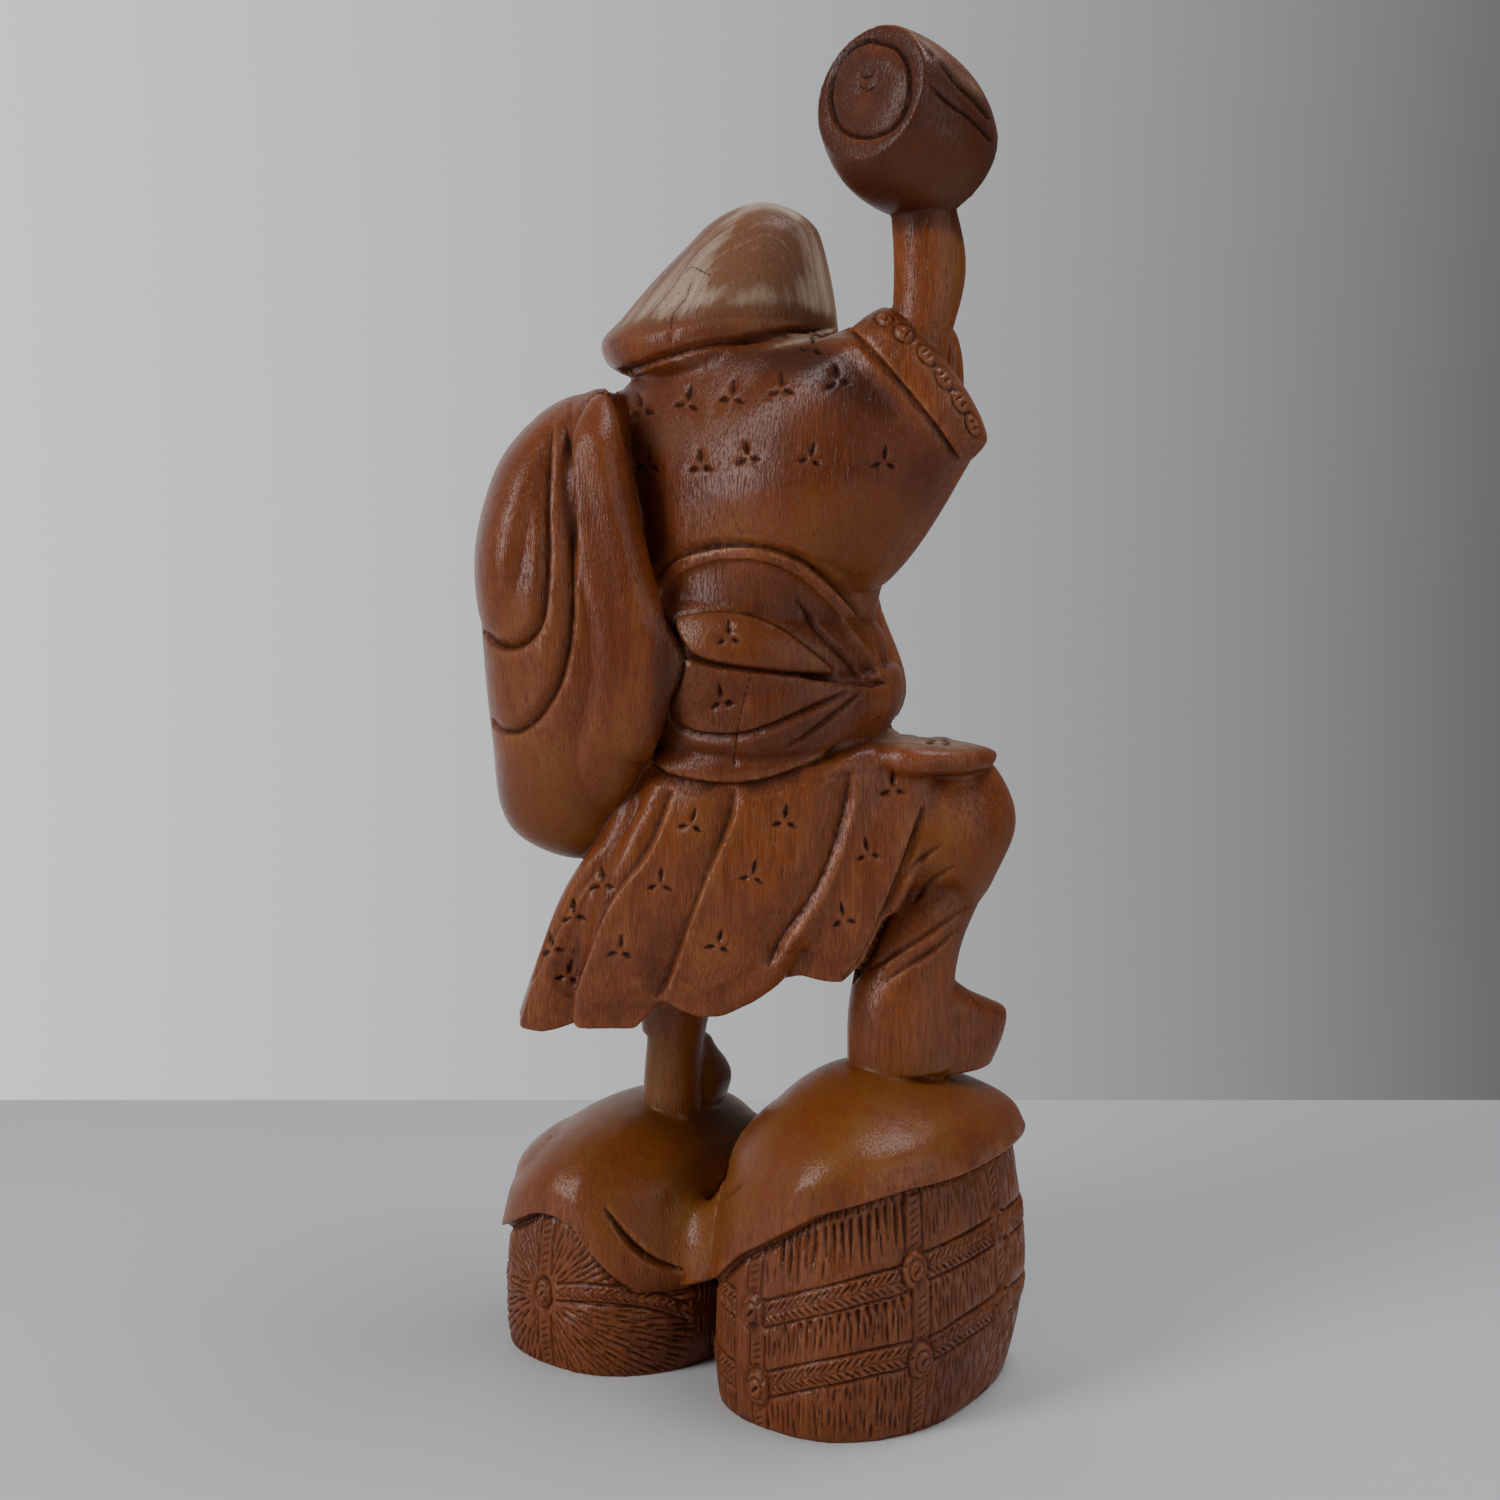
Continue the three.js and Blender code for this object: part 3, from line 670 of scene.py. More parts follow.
def seen(places):
    """Frame pixels and depth of places in the layout, through the photograph's camera."""
    dy, dz = places[:, 1] - EYE[1], places[:, 2] - EYE[2]
    depth = dy * math.cos(PITCH) - dz * math.sin(PITCH)
    up = dy * math.sin(PITCH) + dz * math.cos(PITCH)
    return FRAME_MIDDLE + FOCAL * places[:, 0] / depth, FRAME_MIDDLE - FOCAL * up / depth, depth


def nearest(u, v, depth, cell=VIEW_CELL, slack=5.0):
    """Which places nothing hides, by the nearest depth in each cell of the view."""
    column = ((u - u.min()) / cell).astype(int) + 1
    row = ((v - v.min()) / cell).astype(int) + 1
    front = np.full((row.max() + 2, column.max() + 2), 1e9)
    np.minimum.at(front, (row, column), depth)
    return depth < front[row, column] + slack


def spots(piece, pixels):
    """The places of the piece that the camera sees at frame pixels."""
    places = places_of(piece)
    u, v, depth = seen(places)
    shown = np.flatnonzero(nearest(u, v, depth))
    u, v = u[shown], v[shown]
    return places[[shown[np.argmin((u - x) ** 2 + (v - y) ** 2)] for x, y in pixels]]


def press_seen(piece, board):
    """Carves a board of frame pixels into what the photograph's camera sees."""
    places, normals = places_of(piece), normals_of(piece)
    u, v, depth = seen(places)
    toward = unit_rows(np.array(EYE) - places)
    weight = eased((normals * toward).sum(1), 0.02, 0.22) * nearest(u, v, depth)
    move_to(piece, places + normals * (board.at(u, v) * weight)[:, None])


# Straw and ropes of the bales
# The points of ropes and knots are pixels of the photograph's frame, from left to right.
RIGHT_UPPER_ROPE = [
    (752, 1314), (767, 1314), (800, 1306), (835, 1298), (870, 1289), (904, 1279), (916, 1272), (934, 1263),
    (957, 1253), (980, 1241), (998, 1228), (1008, 1222),
]
RIGHT_LOWER_ROPE = [
    (757, 1388), (772, 1385), (805, 1378), (840, 1371), (875, 1364), (907, 1357), (922, 1354), (942, 1345),
    (961, 1332), (980, 1318), (1000, 1305), (1008, 1300),
]
RIGHT_KNOTS = [[(752, 1313), (916, 1271), (998, 1226)], [(757, 1388), (922, 1360), (1000, 1306)]]
RIGHT_WEDGES = [(782, 1240), (800, 1234), (825, 1225), (850, 1216), (880, 1206), (905, 1197)]
LEFT_KNOT = [(543, 1293)]
LEFT_ROPE = [(556, 1292), (590, 1294), (630, 1298), (660, 1304), (690, 1313)]
LEFT_STUB = [(511, 1277), (535, 1289)]
ROPE_HALF = 6.0
STRIP_HALF = 4.4
KNOT_REACH = 8  # upright ropes end this far from a knot's middle
CLOTH_COVERS = 125  # relief above this height is under the cloth
BOARD_TURNS = 1.7  # a bale's board goes round it more than once, so that no rope has to be split


class Bale:
    """A bale's wall unrolled: the way round it against the height."""

    def __init__(self, spec):
        self.spec = spec
        self.a, self.b = spec["width"] / 2, spec["depth"] / 2
        angle = np.linspace(0, 2 * math.pi, 1441)
        x = self.a * squared(np.cos(angle), corner(angle))
        y = self.b * squared(np.sin(angle), corner(angle))
        self.way = np.concatenate([[0], np.cumsum(np.hypot(np.diff(x), np.diff(y)))])
        self.bearing = np.unwrap(np.arctan2(y, x))
        self.round = self.way[-1]
        self.board = Board(0, -2, BOARD_TURNS * self.round, spec["height"], 0.4, 1.0)

    def places(self, x, y):
        """The way round of places in the layout."""
        r, f = chest_places(x, y)
        bearing = np.arctan2(f - self.spec["place"][1], r - self.spec["place"][0]) % (2 * math.pi)
        return np.interp(bearing, self.bearing, self.way)

    def drawn(self, piece, pixels, start=0.0):
        """Ways and heights of frame pixels on the wall, the first past the start."""
        x, y, z = spots(piece, pixels).T
        way = np.unwrap(self.places(x, y), period=self.round)
        return np.column_stack([way + self.round * math.ceil((start - way[0]) / self.round), z])

    def heights(self, way, height):
        """The board is drawn past a full turn, so both rounds count."""
        first, second = self.board.at(way, height), self.board.at(way + self.round, height)
        second = np.where(way + self.round < BOARD_TURNS * self.round, second, 0)
        return np.where(np.abs(second) > np.abs(first), second, first)


def straw(board, rng, start, end, low, high, spacing=2.3, width=1.7, depth=1.2):
    """Upright cuts between two heights, each a function of the way round."""
    way = start
    while way < end:
        bottom, top = low(way), high(way)
        reach = top - bottom
        if reach > 4:
            height = bottom + reach * rng.uniform(0, 0.3)
            while height < top - 3:
                length = min(rng.uniform(8, 22), top - height)
                lean = rng.uniform(-0.8, 0.8)
                ends = [(way - lean, height), (way + lean, height + length)]
                size = width * rng.uniform(0.7, 1.3), depth * rng.uniform(0.6, 1.25)
                board.cut(ends, *size, taper=(0.4, 0.35))
                height += length + rng.uniform(0.5, 4)
        way += spacing * rng.uniform(0.6, 1.4)


def wedges(board, rng, tops, longest):
    """Bold wedge cuts that hang side by side from a line."""
    way = tops[0, 0]
    while way < tops[-1, 0]:
        top = np.interp(way, *tops.T)
        length = rng.uniform(0.4, 1.0) * longest
        lean = rng.uniform(0.2, 1.6)
        ends = [(way, top), (way + lean, top - length)]
        board.cut(ends, rng.uniform(3.2, 4.6), rng.uniform(2.0, 2.8), taper=(0.12, 0.9))
        way += rng.uniform(3.6, 5.0)


def rope(board, rng, path, half=ROPE_HALF):
    """A double rope on a swell: three long grooves and slanting strands."""
    line = board.smooth_line(path)
    where, distance, _, _ = board.measure(line, half + 3)
    board.heights[where] *= np.clip((distance - half) / 0.6, 0, 1)
    board.heights[where] += 0.9 * np.clip(1 - (distance / (half + 0.5)) ** 2, 0, 1)
    for row in (-1, 0, 1):
        board.fold(line[::6] + (0, row * half), 1.9 if row else 1.0, left=1.2, right=1.2, taper=(0.01, 0.01))
    lengths = np.concatenate([[0], np.cumsum(np.hypot(*np.diff(line, axis=0).T))])
    along = 2.0
    while along < lengths[-1] - 5:
        for side in (-1, 1):
            reach = rng.uniform(4.5, 6)
            x0, x1 = np.interp([along, along + reach], lengths, line[:, 0])
            y0, y1 = np.interp([along, along + reach], lengths, line[:, 1])
            ends = [(x0, y0 + side * 0.7), (x1, y1 + side * (half - 0.9))]
            board.cut(ends, rng.uniform(1.4, 1.9), rng.uniform(0.9, 1.3), taper=(0.3, 0.3))
        along += rng.uniform(3.0, 4.0)


def upright_strip(board, rng, way, low, high):
    """A narrow upright rope between two heights."""
    if high - low < 4:
        return
    line = np.array([(way, low), (way, high)], float)
    where, distance, _, _ = board.measure(line, STRIP_HALF + 2)
    board.heights[where] *= np.clip((distance - STRIP_HALF) / 0.6, 0, 1)
    for side in (-STRIP_HALF, STRIP_HALF):
        board.fold([(way + side, low), (way + side, high)], 1.3, left=1.0, right=1.0, taper=(0.02, 0.02))
    height = low + 1
    while height < high - 4:
        board.cut([(way - 3, height), (way + 3, height + 3.2)], 1.3, 0.9, taper=(0.3, 0.3))
        height += rng.uniform(3.0, 4.0)


def rosette(board, centre, half=(6.4, 8.8)):
    """An oval knot: a ring round a disc, with slanting cuts over both."""
    x, y = centre
    board.knob(centre, half, 2.0)
    bearings = [2 * math.pi * i / 12 for i in range(12)]
    ring = [(x + 0.58 * half[0] * math.cos(a), y + 0.58 * half[1] * math.sin(a)) for a in bearings]
    board.fold([*ring, ring[0]], 1.1, left=0.9, right=0.9, taper=(0.001, 0.001))
    for a in bearings[1::4]:
        near = (x + 0.68 * half[0] * math.cos(a), y + 0.68 * half[1] * math.sin(a))
        far = (x + 0.96 * half[0] * math.cos(a + 0.35), y + 0.96 * half[1] * math.sin(a + 0.35))
        board.cut([near, far], 1.4, 0.9)
    board.cut([(x - 1.8, y - 2.2), (x + 1.8, y + 2.2)], 1.4, 0.8)


def closed_round(wall, path):
    """A rope's hidden part, from the end of what is seen back to its start."""
    (x0, y0), (x1, y1) = path[-1], path[0] + (wall.round, 0)
    return np.array([(x0, y0), (0.6 * x0 + 0.4 * x1, 0.6 * y0 + 0.4 * y1), (x1, y1)])


def right_bale_relief(piece):
    wall = Bale(RIGHT_BALE)
    board, rng = wall.board, random.Random(11)
    start = 0.55 * wall.round
    upper, lower = (wall.drawn(piece, line, start) for line in (RIGHT_UPPER_ROPE, RIGHT_LOWER_ROPE))
    upper_back, lower_back = closed_round(wall, upper), closed_round(wall, lower)
    upper_round, lower_round = np.vstack([upper, upper_back[1:]]), np.vstack([lower, lower_back[1:]])

    def over(way, shift=0):
        return profile(way, upper_round) + shift

    def under(way, shift=0):
        return profile(way, lower_round) + shift

    first, last = upper[0, 0], upper[0, 0] + wall.round
    straw(board, rng, first, last, lambda way: over(way, 6), lambda way: 128)
    straw(board, rng, first, last, lambda way: under(way, 6), lambda way: over(way, -6), width=1.9, depth=1.4)
    straw(board, rng, first, last, lambda way: -1, lambda way: under(way, -6))
    wedges(board, rng, wall.drawn(piece, RIGHT_WEDGES, start), longest=25)
    wedges(board, rng, upper[2:7] - (0, ROPE_HALF + 1), longest=9)
    for line in (upper, upper_back, lower, lower_back):
        rope(board, rng, line)
    for ways in RIGHT_KNOTS:
        for way, height in wall.drawn(piece, ways, start):
            on_lower_rope = height < over(way) - KNOT_REACH
            top = over(way) - KNOT_REACH if on_lower_rope else CLOTH_COVERS
            upright_strip(board, rng, way, height + KNOT_REACH, top)
            if on_lower_rope:
                upright_strip(board, rng, way, -1, height - KNOT_REACH)
            rosette(board, (way, height))
    return wall


def sunburst(board, rng, centre):
    """Rings of cuts that run out from a knot."""
    x, y = centre
    for ring in range(7):
        bearing = 0.0
        while bearing < 2 * math.pi:
            near = 8 + 9 * ring + rng.uniform(0, 6)
            far = near + rng.uniform(9, 15)
            c, s = math.cos(bearing), math.sin(bearing)
            ends = [(x + near * c, y + near * s), (x + far * c, y + far * s)]
            board.cut(ends, rng.uniform(1.6, 2.3), rng.uniform(1.0, 1.7), taper=(0.3, 0.5))
            bearing += rng.uniform(0.13, 0.24) / (1 + 0.55 * ring)


def left_bale_relief(piece):
    wall = Bale(LEFT_BALE)
    board, rng = wall.board, random.Random(23)
    # Upright straw goes round the wall, apart from the part that the sunburst fills.
    for start, end in ((0, 238), (400, wall.round + 20)):
        straw(board, rng, start, end, lambda way: -1, lambda way: 90)
    lines = (LEFT_KNOT, LEFT_ROPE, LEFT_STUB)
    (knot,), band, stub = (wall.drawn(piece, line, 0.5 * wall.round) for line in lines)
    x, y = knot
    sunburst(board, rng, knot)
    rope(board, rng, band, 4.2)
    rope(board, rng, np.array([band[-1] - (wall.round, 0), (120, 20), stub[0]]), 4.2)
    rope(board, rng, stub, 3.6)
    upright_strip(board, rng, x, y + 9, y + 40)
    upright_strip(board, rng, x, -1, y - 9)
    rosette(board, knot, (4.8, 7.0))
    return wall


def press_bales(piece):
    """Cuts straw and ropes into both bales, below the cloth."""
    places, normals = places_of(piece), normals_of(piece)
    x, y, z = places.T
    r, _ = chest_places(x, y)
    under = cloth_hem(x, y) - z
    steep = np.abs(normals[:, 2]) < 0.75
    below = eased(under, 0.3, 1.5) * steep * (z > 0.5)
    shade = -1.2 * eased(under, 0.3, 1.2) * (1 - eased(under, 2.0, 5.0)) * steep
    right_edge = RIGHT_BALE["place"][0] - RIGHT_BALE["width"] / 2
    parting = (right_edge + LEFT_BALE["place"][0] + LEFT_BALE["width"] / 2) / 2
    for wall, mine in ((right_bale_relief(piece), r > parting), (left_bale_relief(piece), r <= parting)):
        height = wall.heights(wall.places(x, y), z) * below * mine
        places = places + normals * (height + shade * mine)[:, None]
    move_to(piece, places)


# Relief on the side that the photograph shows
# Points are pixels of the photograph's 1500 pixel frame.
SACK_EDGE = [
    (606, 386), (612, 410), (620, 450), (632, 500), (643, 545), (651, 580), (662, 610), (676, 640),
    (682, 660), (679, 680), (668, 705), (657, 735), (650, 765),
]
SACK_RIDGE = [(590, 425), (602, 470), (618, 530), (632, 590), (640, 640)]
OUTER_CREASE = [
    (552, 425), (549, 450), (547, 500), (548, 550), (546, 590), (541, 622), (528, 641), (510, 649),
    (494, 645), (483, 630),
]
INNER_CREASE = [
    (566, 420), (570, 470), (573, 520), (574, 570), (573, 620), (568, 656), (558, 688), (541, 715),
    (519, 732), (500, 732), (490, 718),
]
STRIP_FOLD = [(572, 404), (569, 430), (568, 460), (571, 495)]
SHOULDER_LINE = [(606, 382), (630, 374), (660, 362), (700, 349), (740, 343), (790, 337), (836, 327)]
BRIM_TOP = [(604, 352), (640, 330), (700, 317), (760, 316), (800, 320), (834, 324)]
CUFF_SEAM = [(848, 326), (870, 347), (895, 374), (918, 402), (940, 430), (960, 460)]
LENS_ARCH = [
    (654, 582), (672, 563), (700, 551), (740, 546), (780, 553), (812, 570), (845, 600), (870, 635),
    (885, 668),
]
LENS_HOLLOW = [
    (656, 606), (672, 578), (700, 563), (740, 558), (776, 565), (806, 582), (836, 610), (862, 645),
    (880, 676), (884, 684), (820, 679), (740, 671), (688, 660),
]
INNER_LENS = [
    (674, 620), (700, 611), (735, 611), (765, 619), (792, 634), (815, 652), (834, 672), (800, 674),
    (740, 668), (694, 656),
]
LENS_CUT = [(797, 600), (812, 618), (838, 646), (866, 680)]
LENS_FLOOR = [(680, 659), (720, 669), (770, 675), (820, 680), (870, 687), (888, 684)]
PEPLUM_BOTTOM = [
    (650, 762), (668, 774), (700, 782), (740, 784), (780, 776), (820, 758), (850, 738), (882, 716),
]
PEPLUM_FOLD = [(667, 708), (680, 726), (705, 735), (740, 735), (775, 724), (810, 708), (850, 690)]
PEPLUM_CUT = [(783, 750), (806, 736), (835, 714), (864, 690)]
PEPLUM_CRACK = [(750, 676), (744, 700), (737, 735), (733, 775)]
HAT_CRACK = [(693, 279), (689, 288), (686, 298), (679, 306), (672, 318), (671, 345)]
HAT_CRACK_BRANCH = [(684, 274), (691, 267), (700, 270), (711, 276)]
PLEAT_GROOVES = [
    [(572, 999), (583, 963), (608, 901), (647, 849), (671, 789)],
    [(658, 999), (671, 968), (689, 916), (707, 870), (728, 823), (735, 789)],
    [(769, 968), (785, 937), (811, 901), (831, 859), (847, 807), (852, 771)],
]
PLEAT_EDGE = [(842, 981), (862, 958), (883, 911), (904, 859), (922, 806)]
LEFT_GROOVE = [(528, 985), (545, 950), (570, 905), (604, 858)]
TROUSER_FOLDS = [
    [(866, 972), (900, 952), (935, 930), (972, 905)],
    [(880, 985), (905, 968), (935, 950), (962, 925)],
    [(905, 880), (920, 862), (942, 845)],
    [(912, 905), (930, 884), (955, 866)],
]
CLOTH_FOLD = [(604, 1206), (618, 1224), (634, 1243), (655, 1259), (684, 1270)]
CLOTH_CREASE = [(716, 1205), (728, 1194), (744, 1184)]
TREFOILS = [
    (641, 411), (687, 403), (732, 397), (781, 389), (838, 381), (811, 347), (647, 465), (700, 466),
    (748, 457), (810, 459), (884, 463), (729, 638), (722, 702), (691, 825), (785, 822), (893, 789),
    (868, 854), (752, 877), (660, 885), (602, 884), (844, 920), (718, 946), (620, 952), (574, 916),
    (552, 949), (568, 977), (939, 739),
]
CUFF_KNOBS = [
    ((884, 319), (9, 6), 10), ((904, 333), (11, 8), 35), ((927, 355), (12, 7), 52), ((944, 378), (13, 7), 58),
    ((961, 402), (13, 7), 60), ((973, 425), (12, 6), 66),
]  # centre, half sizes and turn in degrees
MALLET_BANDS = [
    [(916, 36), (939, 61), (957, 84), (975, 102), (990, 120)],
    [(930, 84), (945, 100), (957, 109), (972, 120), (992, 142)],
]
MALLET_RING = [
    (871, 41), (895, 49), (907, 67), (909, 91), (904, 111), (889, 130), (862, 137), (841, 128), (832, 106),
    (832, 85), (839, 64), (853, 48),
]
MALLET_ARCS = [[(858, 74), (865, 78), (873, 74)], [(859, 86), (867, 91), (876, 85)]]
BACK = [
    (608, 400), (640, 378), (700, 352), (770, 342), (838, 332), (900, 390), (950, 462), (915, 520),
    (880, 575), (820, 560), (740, 530), (655, 560),
]
BESIDE_SACK = [
    (604, 396), (634, 386), (650, 430), (668, 500), (684, 560), (676, 604), (658, 596), (645, 568),
    (637, 540), (626, 495), (612, 446),
]
SACK_FLANK = [
    (598, 390), (620, 400), (640, 470), (668, 560), (700, 640), (706, 680), (680, 750), (650, 800),
    (636, 760), (628, 640), (612, 520),
]
BLADES = [
    (600, 870), (660, 800), (740, 800), (850, 775), (935, 775), (900, 880), (850, 960), (790, 950),
    (700, 995), (610, 1005), (560, 980),
]
TROUSER = [(915, 790), (1010, 770), (1040, 830), (1010, 890), (985, 930), (960, 985), (850, 985), (855, 960)]
VALLEY = [
    (660, 1206), (700, 1150), (740, 1112), (786, 1122), (796, 1170), (780, 1214), (740, 1246),
    (712, 1262), (690, 1277), (664, 1252),
]
CLOTH_DIP = [
    (600, 1190), (650, 1130), (760, 1090), (800, 1120), (800, 1180), (760, 1225), (712, 1262),
    (690, 1278), (640, 1262),
]
FLAP_ROOT = [(830, 740), (900, 715), (930, 735), (900, 765), (850, 775)]
SOFT_ZONES = [
    (BACK, 240), (SACK_FLANK, 120), (BLADES, 200), (TROUSER, 50), (CLOTH_DIP, 400), (VALLEY, 1500),
    (FLAP_ROOT, 30),
]
# Each zone of colour is its strength and an outline.
# Darker soaked stain, apart from the zone on the left cloth dome's top, which is painted shadow of the leg.
SOAK_AND_SHADE_ZONES = [
    (0.6, [
        (656, 606), (700, 560), (776, 562), (836, 607), (884, 686), (850, 740), (760, 784), (668, 776),
        (648, 700),
    ]),
    (0.55, BACK),
    (0.4, [
        (540, 400), (606, 390), (650, 560), (686, 660), (640, 800), (560, 850), (500, 780), (470, 600),
        (490, 470),
    ]),
    # painted shadow of the leg on the top of the left cloth dome
    (0.7, [(612, 1120), (660, 1096), (740, 1100), (752, 1122), (700, 1148), (640, 1140)]),
    (0.3, [(800, 1060), (860, 1056), (960, 1080), (940, 1100), (850, 1090)]),
    (0.55, [(908, 210), (928, 212), (928, 290), (912, 312), (906, 280)]),
    (0.45, [(690, 318), (760, 330), (836, 346), (900, 400), (880, 420), (790, 380), (700, 372), (620, 400)]),
]
GOLDEN_ZONES = [
    (0.9, [(640, 520), (760, 490), (880, 480), (930, 520), (880, 600), (800, 560), (700, 545)]),
    (0.8, [(680, 610), (760, 610), (850, 670), (760, 668), (690, 655)]),
    (0.9, [(500, 720), (560, 740), (600, 700), (640, 760), (590, 850), (520, 820)]),
    (0.9, [(920, 820), (960, 815), (1012, 850), (1000, 905), (950, 890), (905, 860)]),
    (0.8, [(735, 314), (800, 313), (836, 320), (836, 330), (760, 332)]),
    (0.7, [(890, 150), (930, 120), (990, 140), (980, 200), (940, 214), (900, 200)]),
    (0.8, [(936, 214), (956, 220), (966, 260), (958, 300), (940, 320), (936, 270)]),
]
# Pale zones of worn wood; the shoulder's rim is worn wood with a painted highlight, and the flap's top is a
# painted highlight.
WEAR_AND_HIGHLIGHT_ZONES = [
    (0.34, [
        (604, 336), (640, 300), (680, 262), (712, 232), (738, 210), (744, 216), (724, 244), (710, 270),
        (716, 292), (704, 308), (672, 320), (634, 326),
    ]),
    (0.6, [
        (736, 214), (750, 200), (768, 196), (786, 202), (802, 216), (796, 222), (780, 211), (764, 206),
        (750, 210),
    ]),
    (0.4, [
        (790, 212), (808, 226), (822, 248), (832, 280), (838, 318), (828, 320), (812, 314), (800, 302),
        (794, 284), (806, 272), (800, 240),
    ]),
    (0.2, [(690, 302), (740, 280), (792, 290), (818, 308), (770, 306), (720, 308)]),
    (0.9, [(906, 30), (926, 38), (945, 56), (950, 66), (934, 54), (918, 42)]),
    (0.7, [(950, 66), (975, 80), (986, 98), (978, 97), (960, 82)]),
    # the shoulder's rim: worn wood and a painted highlight
    (0.8, [(762, 350), (800, 332), (836, 325), (849, 331), (846, 339), (806, 346)]),
    # the flap's top: a painted highlight
    (0.62, [(872, 738), (905, 728), (985, 741), (974, 753), (900, 750), (876, 746)]),
    (0.12, [
        (630, 436), (652, 421), (692, 416), (721, 407), (749, 419), (721, 436), (704, 453), (652, 458),
        (635, 464),
    ]),
]
SCRATCHES = [
    [(610, 393), (614, 420), (614, 447), (624, 462)], [(638, 461), (634, 475)], [(743, 350), (735, 365)],
    [(888, 473), (898, 477), (905, 473)], [(939, 441), (948, 447)], [(813, 498), (822, 521)],
    [(1003, 809), (1007, 830), (1006, 858)], [(1000, 1132), (1012, 1140)], [(658, 830), (664, 842)],
    [(668, 706), (664, 722)], [(728, 560), (735, 590)], [(860, 610), (866, 622)], [(560, 800), (575, 803)],
]


def draw_folds(board):
    board.layer(BACK, 3.5, 60)
    board.layer(BLADES, 2.0, 30)
    board.step(SACK_EDGE[::-1], 3.0, 26, 3, depth=1.4, ditch=2, taper=(0.04, 0.04))
    board.fold(SACK_RIDGE, -1.6, left=9, right=10, taper=(0.3, 0.4))
    board.fold(OUTER_CREASE, 4.2, left=1.7, right=6, taper=(0.16, 0.1), sharp=1.3)
    board.fold(INNER_CREASE, 3.8, left=1.8, right=6, taper=(0.16, 0.1), sharp=1.3)
    board.fold(STRIP_FOLD, 1.6, left=2.4, right=2.4, taper=(0.4, 0.5))
    board.fold(SHOULDER_LINE, 2.6, left=4.5, right=1.0, taper=(0.03, 0.1))
    board.fold(BRIM_TOP, 1.2, left=10, right=4, taper=(0.3, 0.3), sharp=1.5)
    board.fold(CUFF_SEAM, 2.4, left=0.9, right=4.5, crest=(0.5, 0), taper=(0.02, 0.05), sharp=1.4)
    board.fold(LENS_ARCH, 3.0, left=5, right=0.8, crest=(0, 0.8), taper=(0.15, 0.03), sharp=1.3)
    board.layer(LENS_HOLLOW, -2.2, 4)
    board.layer(INNER_LENS, 2.4, 1.8, ditch=1.0, ditch_width=3)
    board.fold(LENS_CUT, 2.6, left=2.2, right=2.2, taper=(0.45, 0.3))
    board.step(LENS_FLOOR, -2.6, 5, 1.2, depth=0, ditch=1, taper=(0.04, 0.04))
    board.fold(PEPLUM_BOTTOM, 3.6, left=1.2, right=7, taper=(0.04, 0.1))
    board.fold(PEPLUM_FOLD, 2.8, left=1.4, right=3, crest=(0, 0.5), taper=(0.2, 0.2))
    board.fold(PEPLUM_CUT, 2.6, left=1.6, right=1.6, taper=(0.5, 0.4))
    for groove in PLEAT_GROOVES:
        board.fold(groove, 4.6, left=14, right=2.6, crest=(0, 0.7), taper=(0.08, 0.12), sharp=1.15)
    board.fold(PLEAT_EDGE, 3.4, left=1.0, right=5, taper=(0.02, 0.2))
    board.fold(LEFT_GROOVE, 2.2, left=6, right=2, taper=(0.1, 0.2))
    for crease in TROUSER_FOLDS:
        board.fold(crease, 1.6, left=2.6, right=1.4, crest=(0, 0.4), taper=(0.25, 0.4))
    board.fold(CLOTH_FOLD, 4.6, left=1.2, right=3.4, crest=(0.8, 0), taper=(0.5, 0.35))
    board.fold(CLOTH_CREASE, 1.4, left=2, right=2, taper=(0.4, 0.5))


def draw_marks(board):
    for number, centre in enumerate(TREFOILS):
        board.trefoil(centre, turn=math.radians(-12 + 8 * (number * 7 % 4)))
    for number, (centre, half, turn) in enumerate(CUFF_KNOBS):
        lean = math.radians(turn)
        board.knob(centre, half, 1.1, turn=lean)
        for share in (-0.35, 0.25) if number > 1 else (0.3,):
            x = centre[0] + share * half[0] * math.cos(lean)
            y = centre[1] + share * half[0] * math.sin(lean)
            reach = 0.6 * half[1]
            dx, dy = reach * math.sin(lean), reach * math.cos(lean)
            board.cut([(x - dx, y + dy), (x + dx, y - dy)], 1.4, 0.9)
    ring = board.smooth_line(MALLET_RING, closed=True)
    board.fold(np.vstack([ring, ring[:1]])[::6], 1.7, left=1.9, right=1.1, taper=(0.001, 0.001))
    for arc in MALLET_ARCS:
        board.cut(arc, 1.5, 1.1, taper=(0.3, 0.3))
    for band in MALLET_BANDS:
        board.fold(band, 1.3, left=0.9, right=1.5, taper=(0.2, 0.02))
    for crack in (HAT_CRACK, HAT_CRACK_BRANCH, PEPLUM_CRACK):
        board.cut(crack, 0.8, 0.8, taper=(0.1, 0.1))


# Relief on the hidden sides
# Points on the front board are millimetres, across to the figure's left and down.
FACE = (32, -432)
EYE_LINE = [(4.5, 1.5), (9, -2.2), (15, -2.6), (20.5, 1.5)]
LOWER_LID = [(6, 3.5), (12, 4.6), (19, 3.5)]
BROW = [(3.5, -8), (11, -13), (22, -8)]
SMILE_FOLD = [(8, 13), (13, 18), (17, 28)]
MOUSTACHE = [(1, 22), (8, 22), (15, 26), (20, 33)]
MOUTH = [(-7, 28), (0, 30.5), (7, 28)]
FACE_FOLDS = [
    (EYE_LINE, 1.7, 1.3, (0.2, 0.2)), (LOWER_LID, 0.9, 1.2, (0.3, 0.3)), (BROW, -1.5, 2.6, (0.3, 0.3)),
    (SMILE_FOLD, 1.5, 1.8, (0.2, 0.4)), (MOUSTACHE, -2.0, 3.4, (0.1, 0.5)),
]  # line, depth, width and taper
COLLAR = [(30, 414), (26, 390), (20, 358), (14, 330)]
COLLAR_SPREAD = (34, 26, 14, 2)
SASH_LINES = [
    [(-46, -304), (-16, -299), (14, -298), (44, -300), (70, -306)],
    [(-50, -292), (-18, -286), (14, -284), (46, -286), (74, -293)],
]
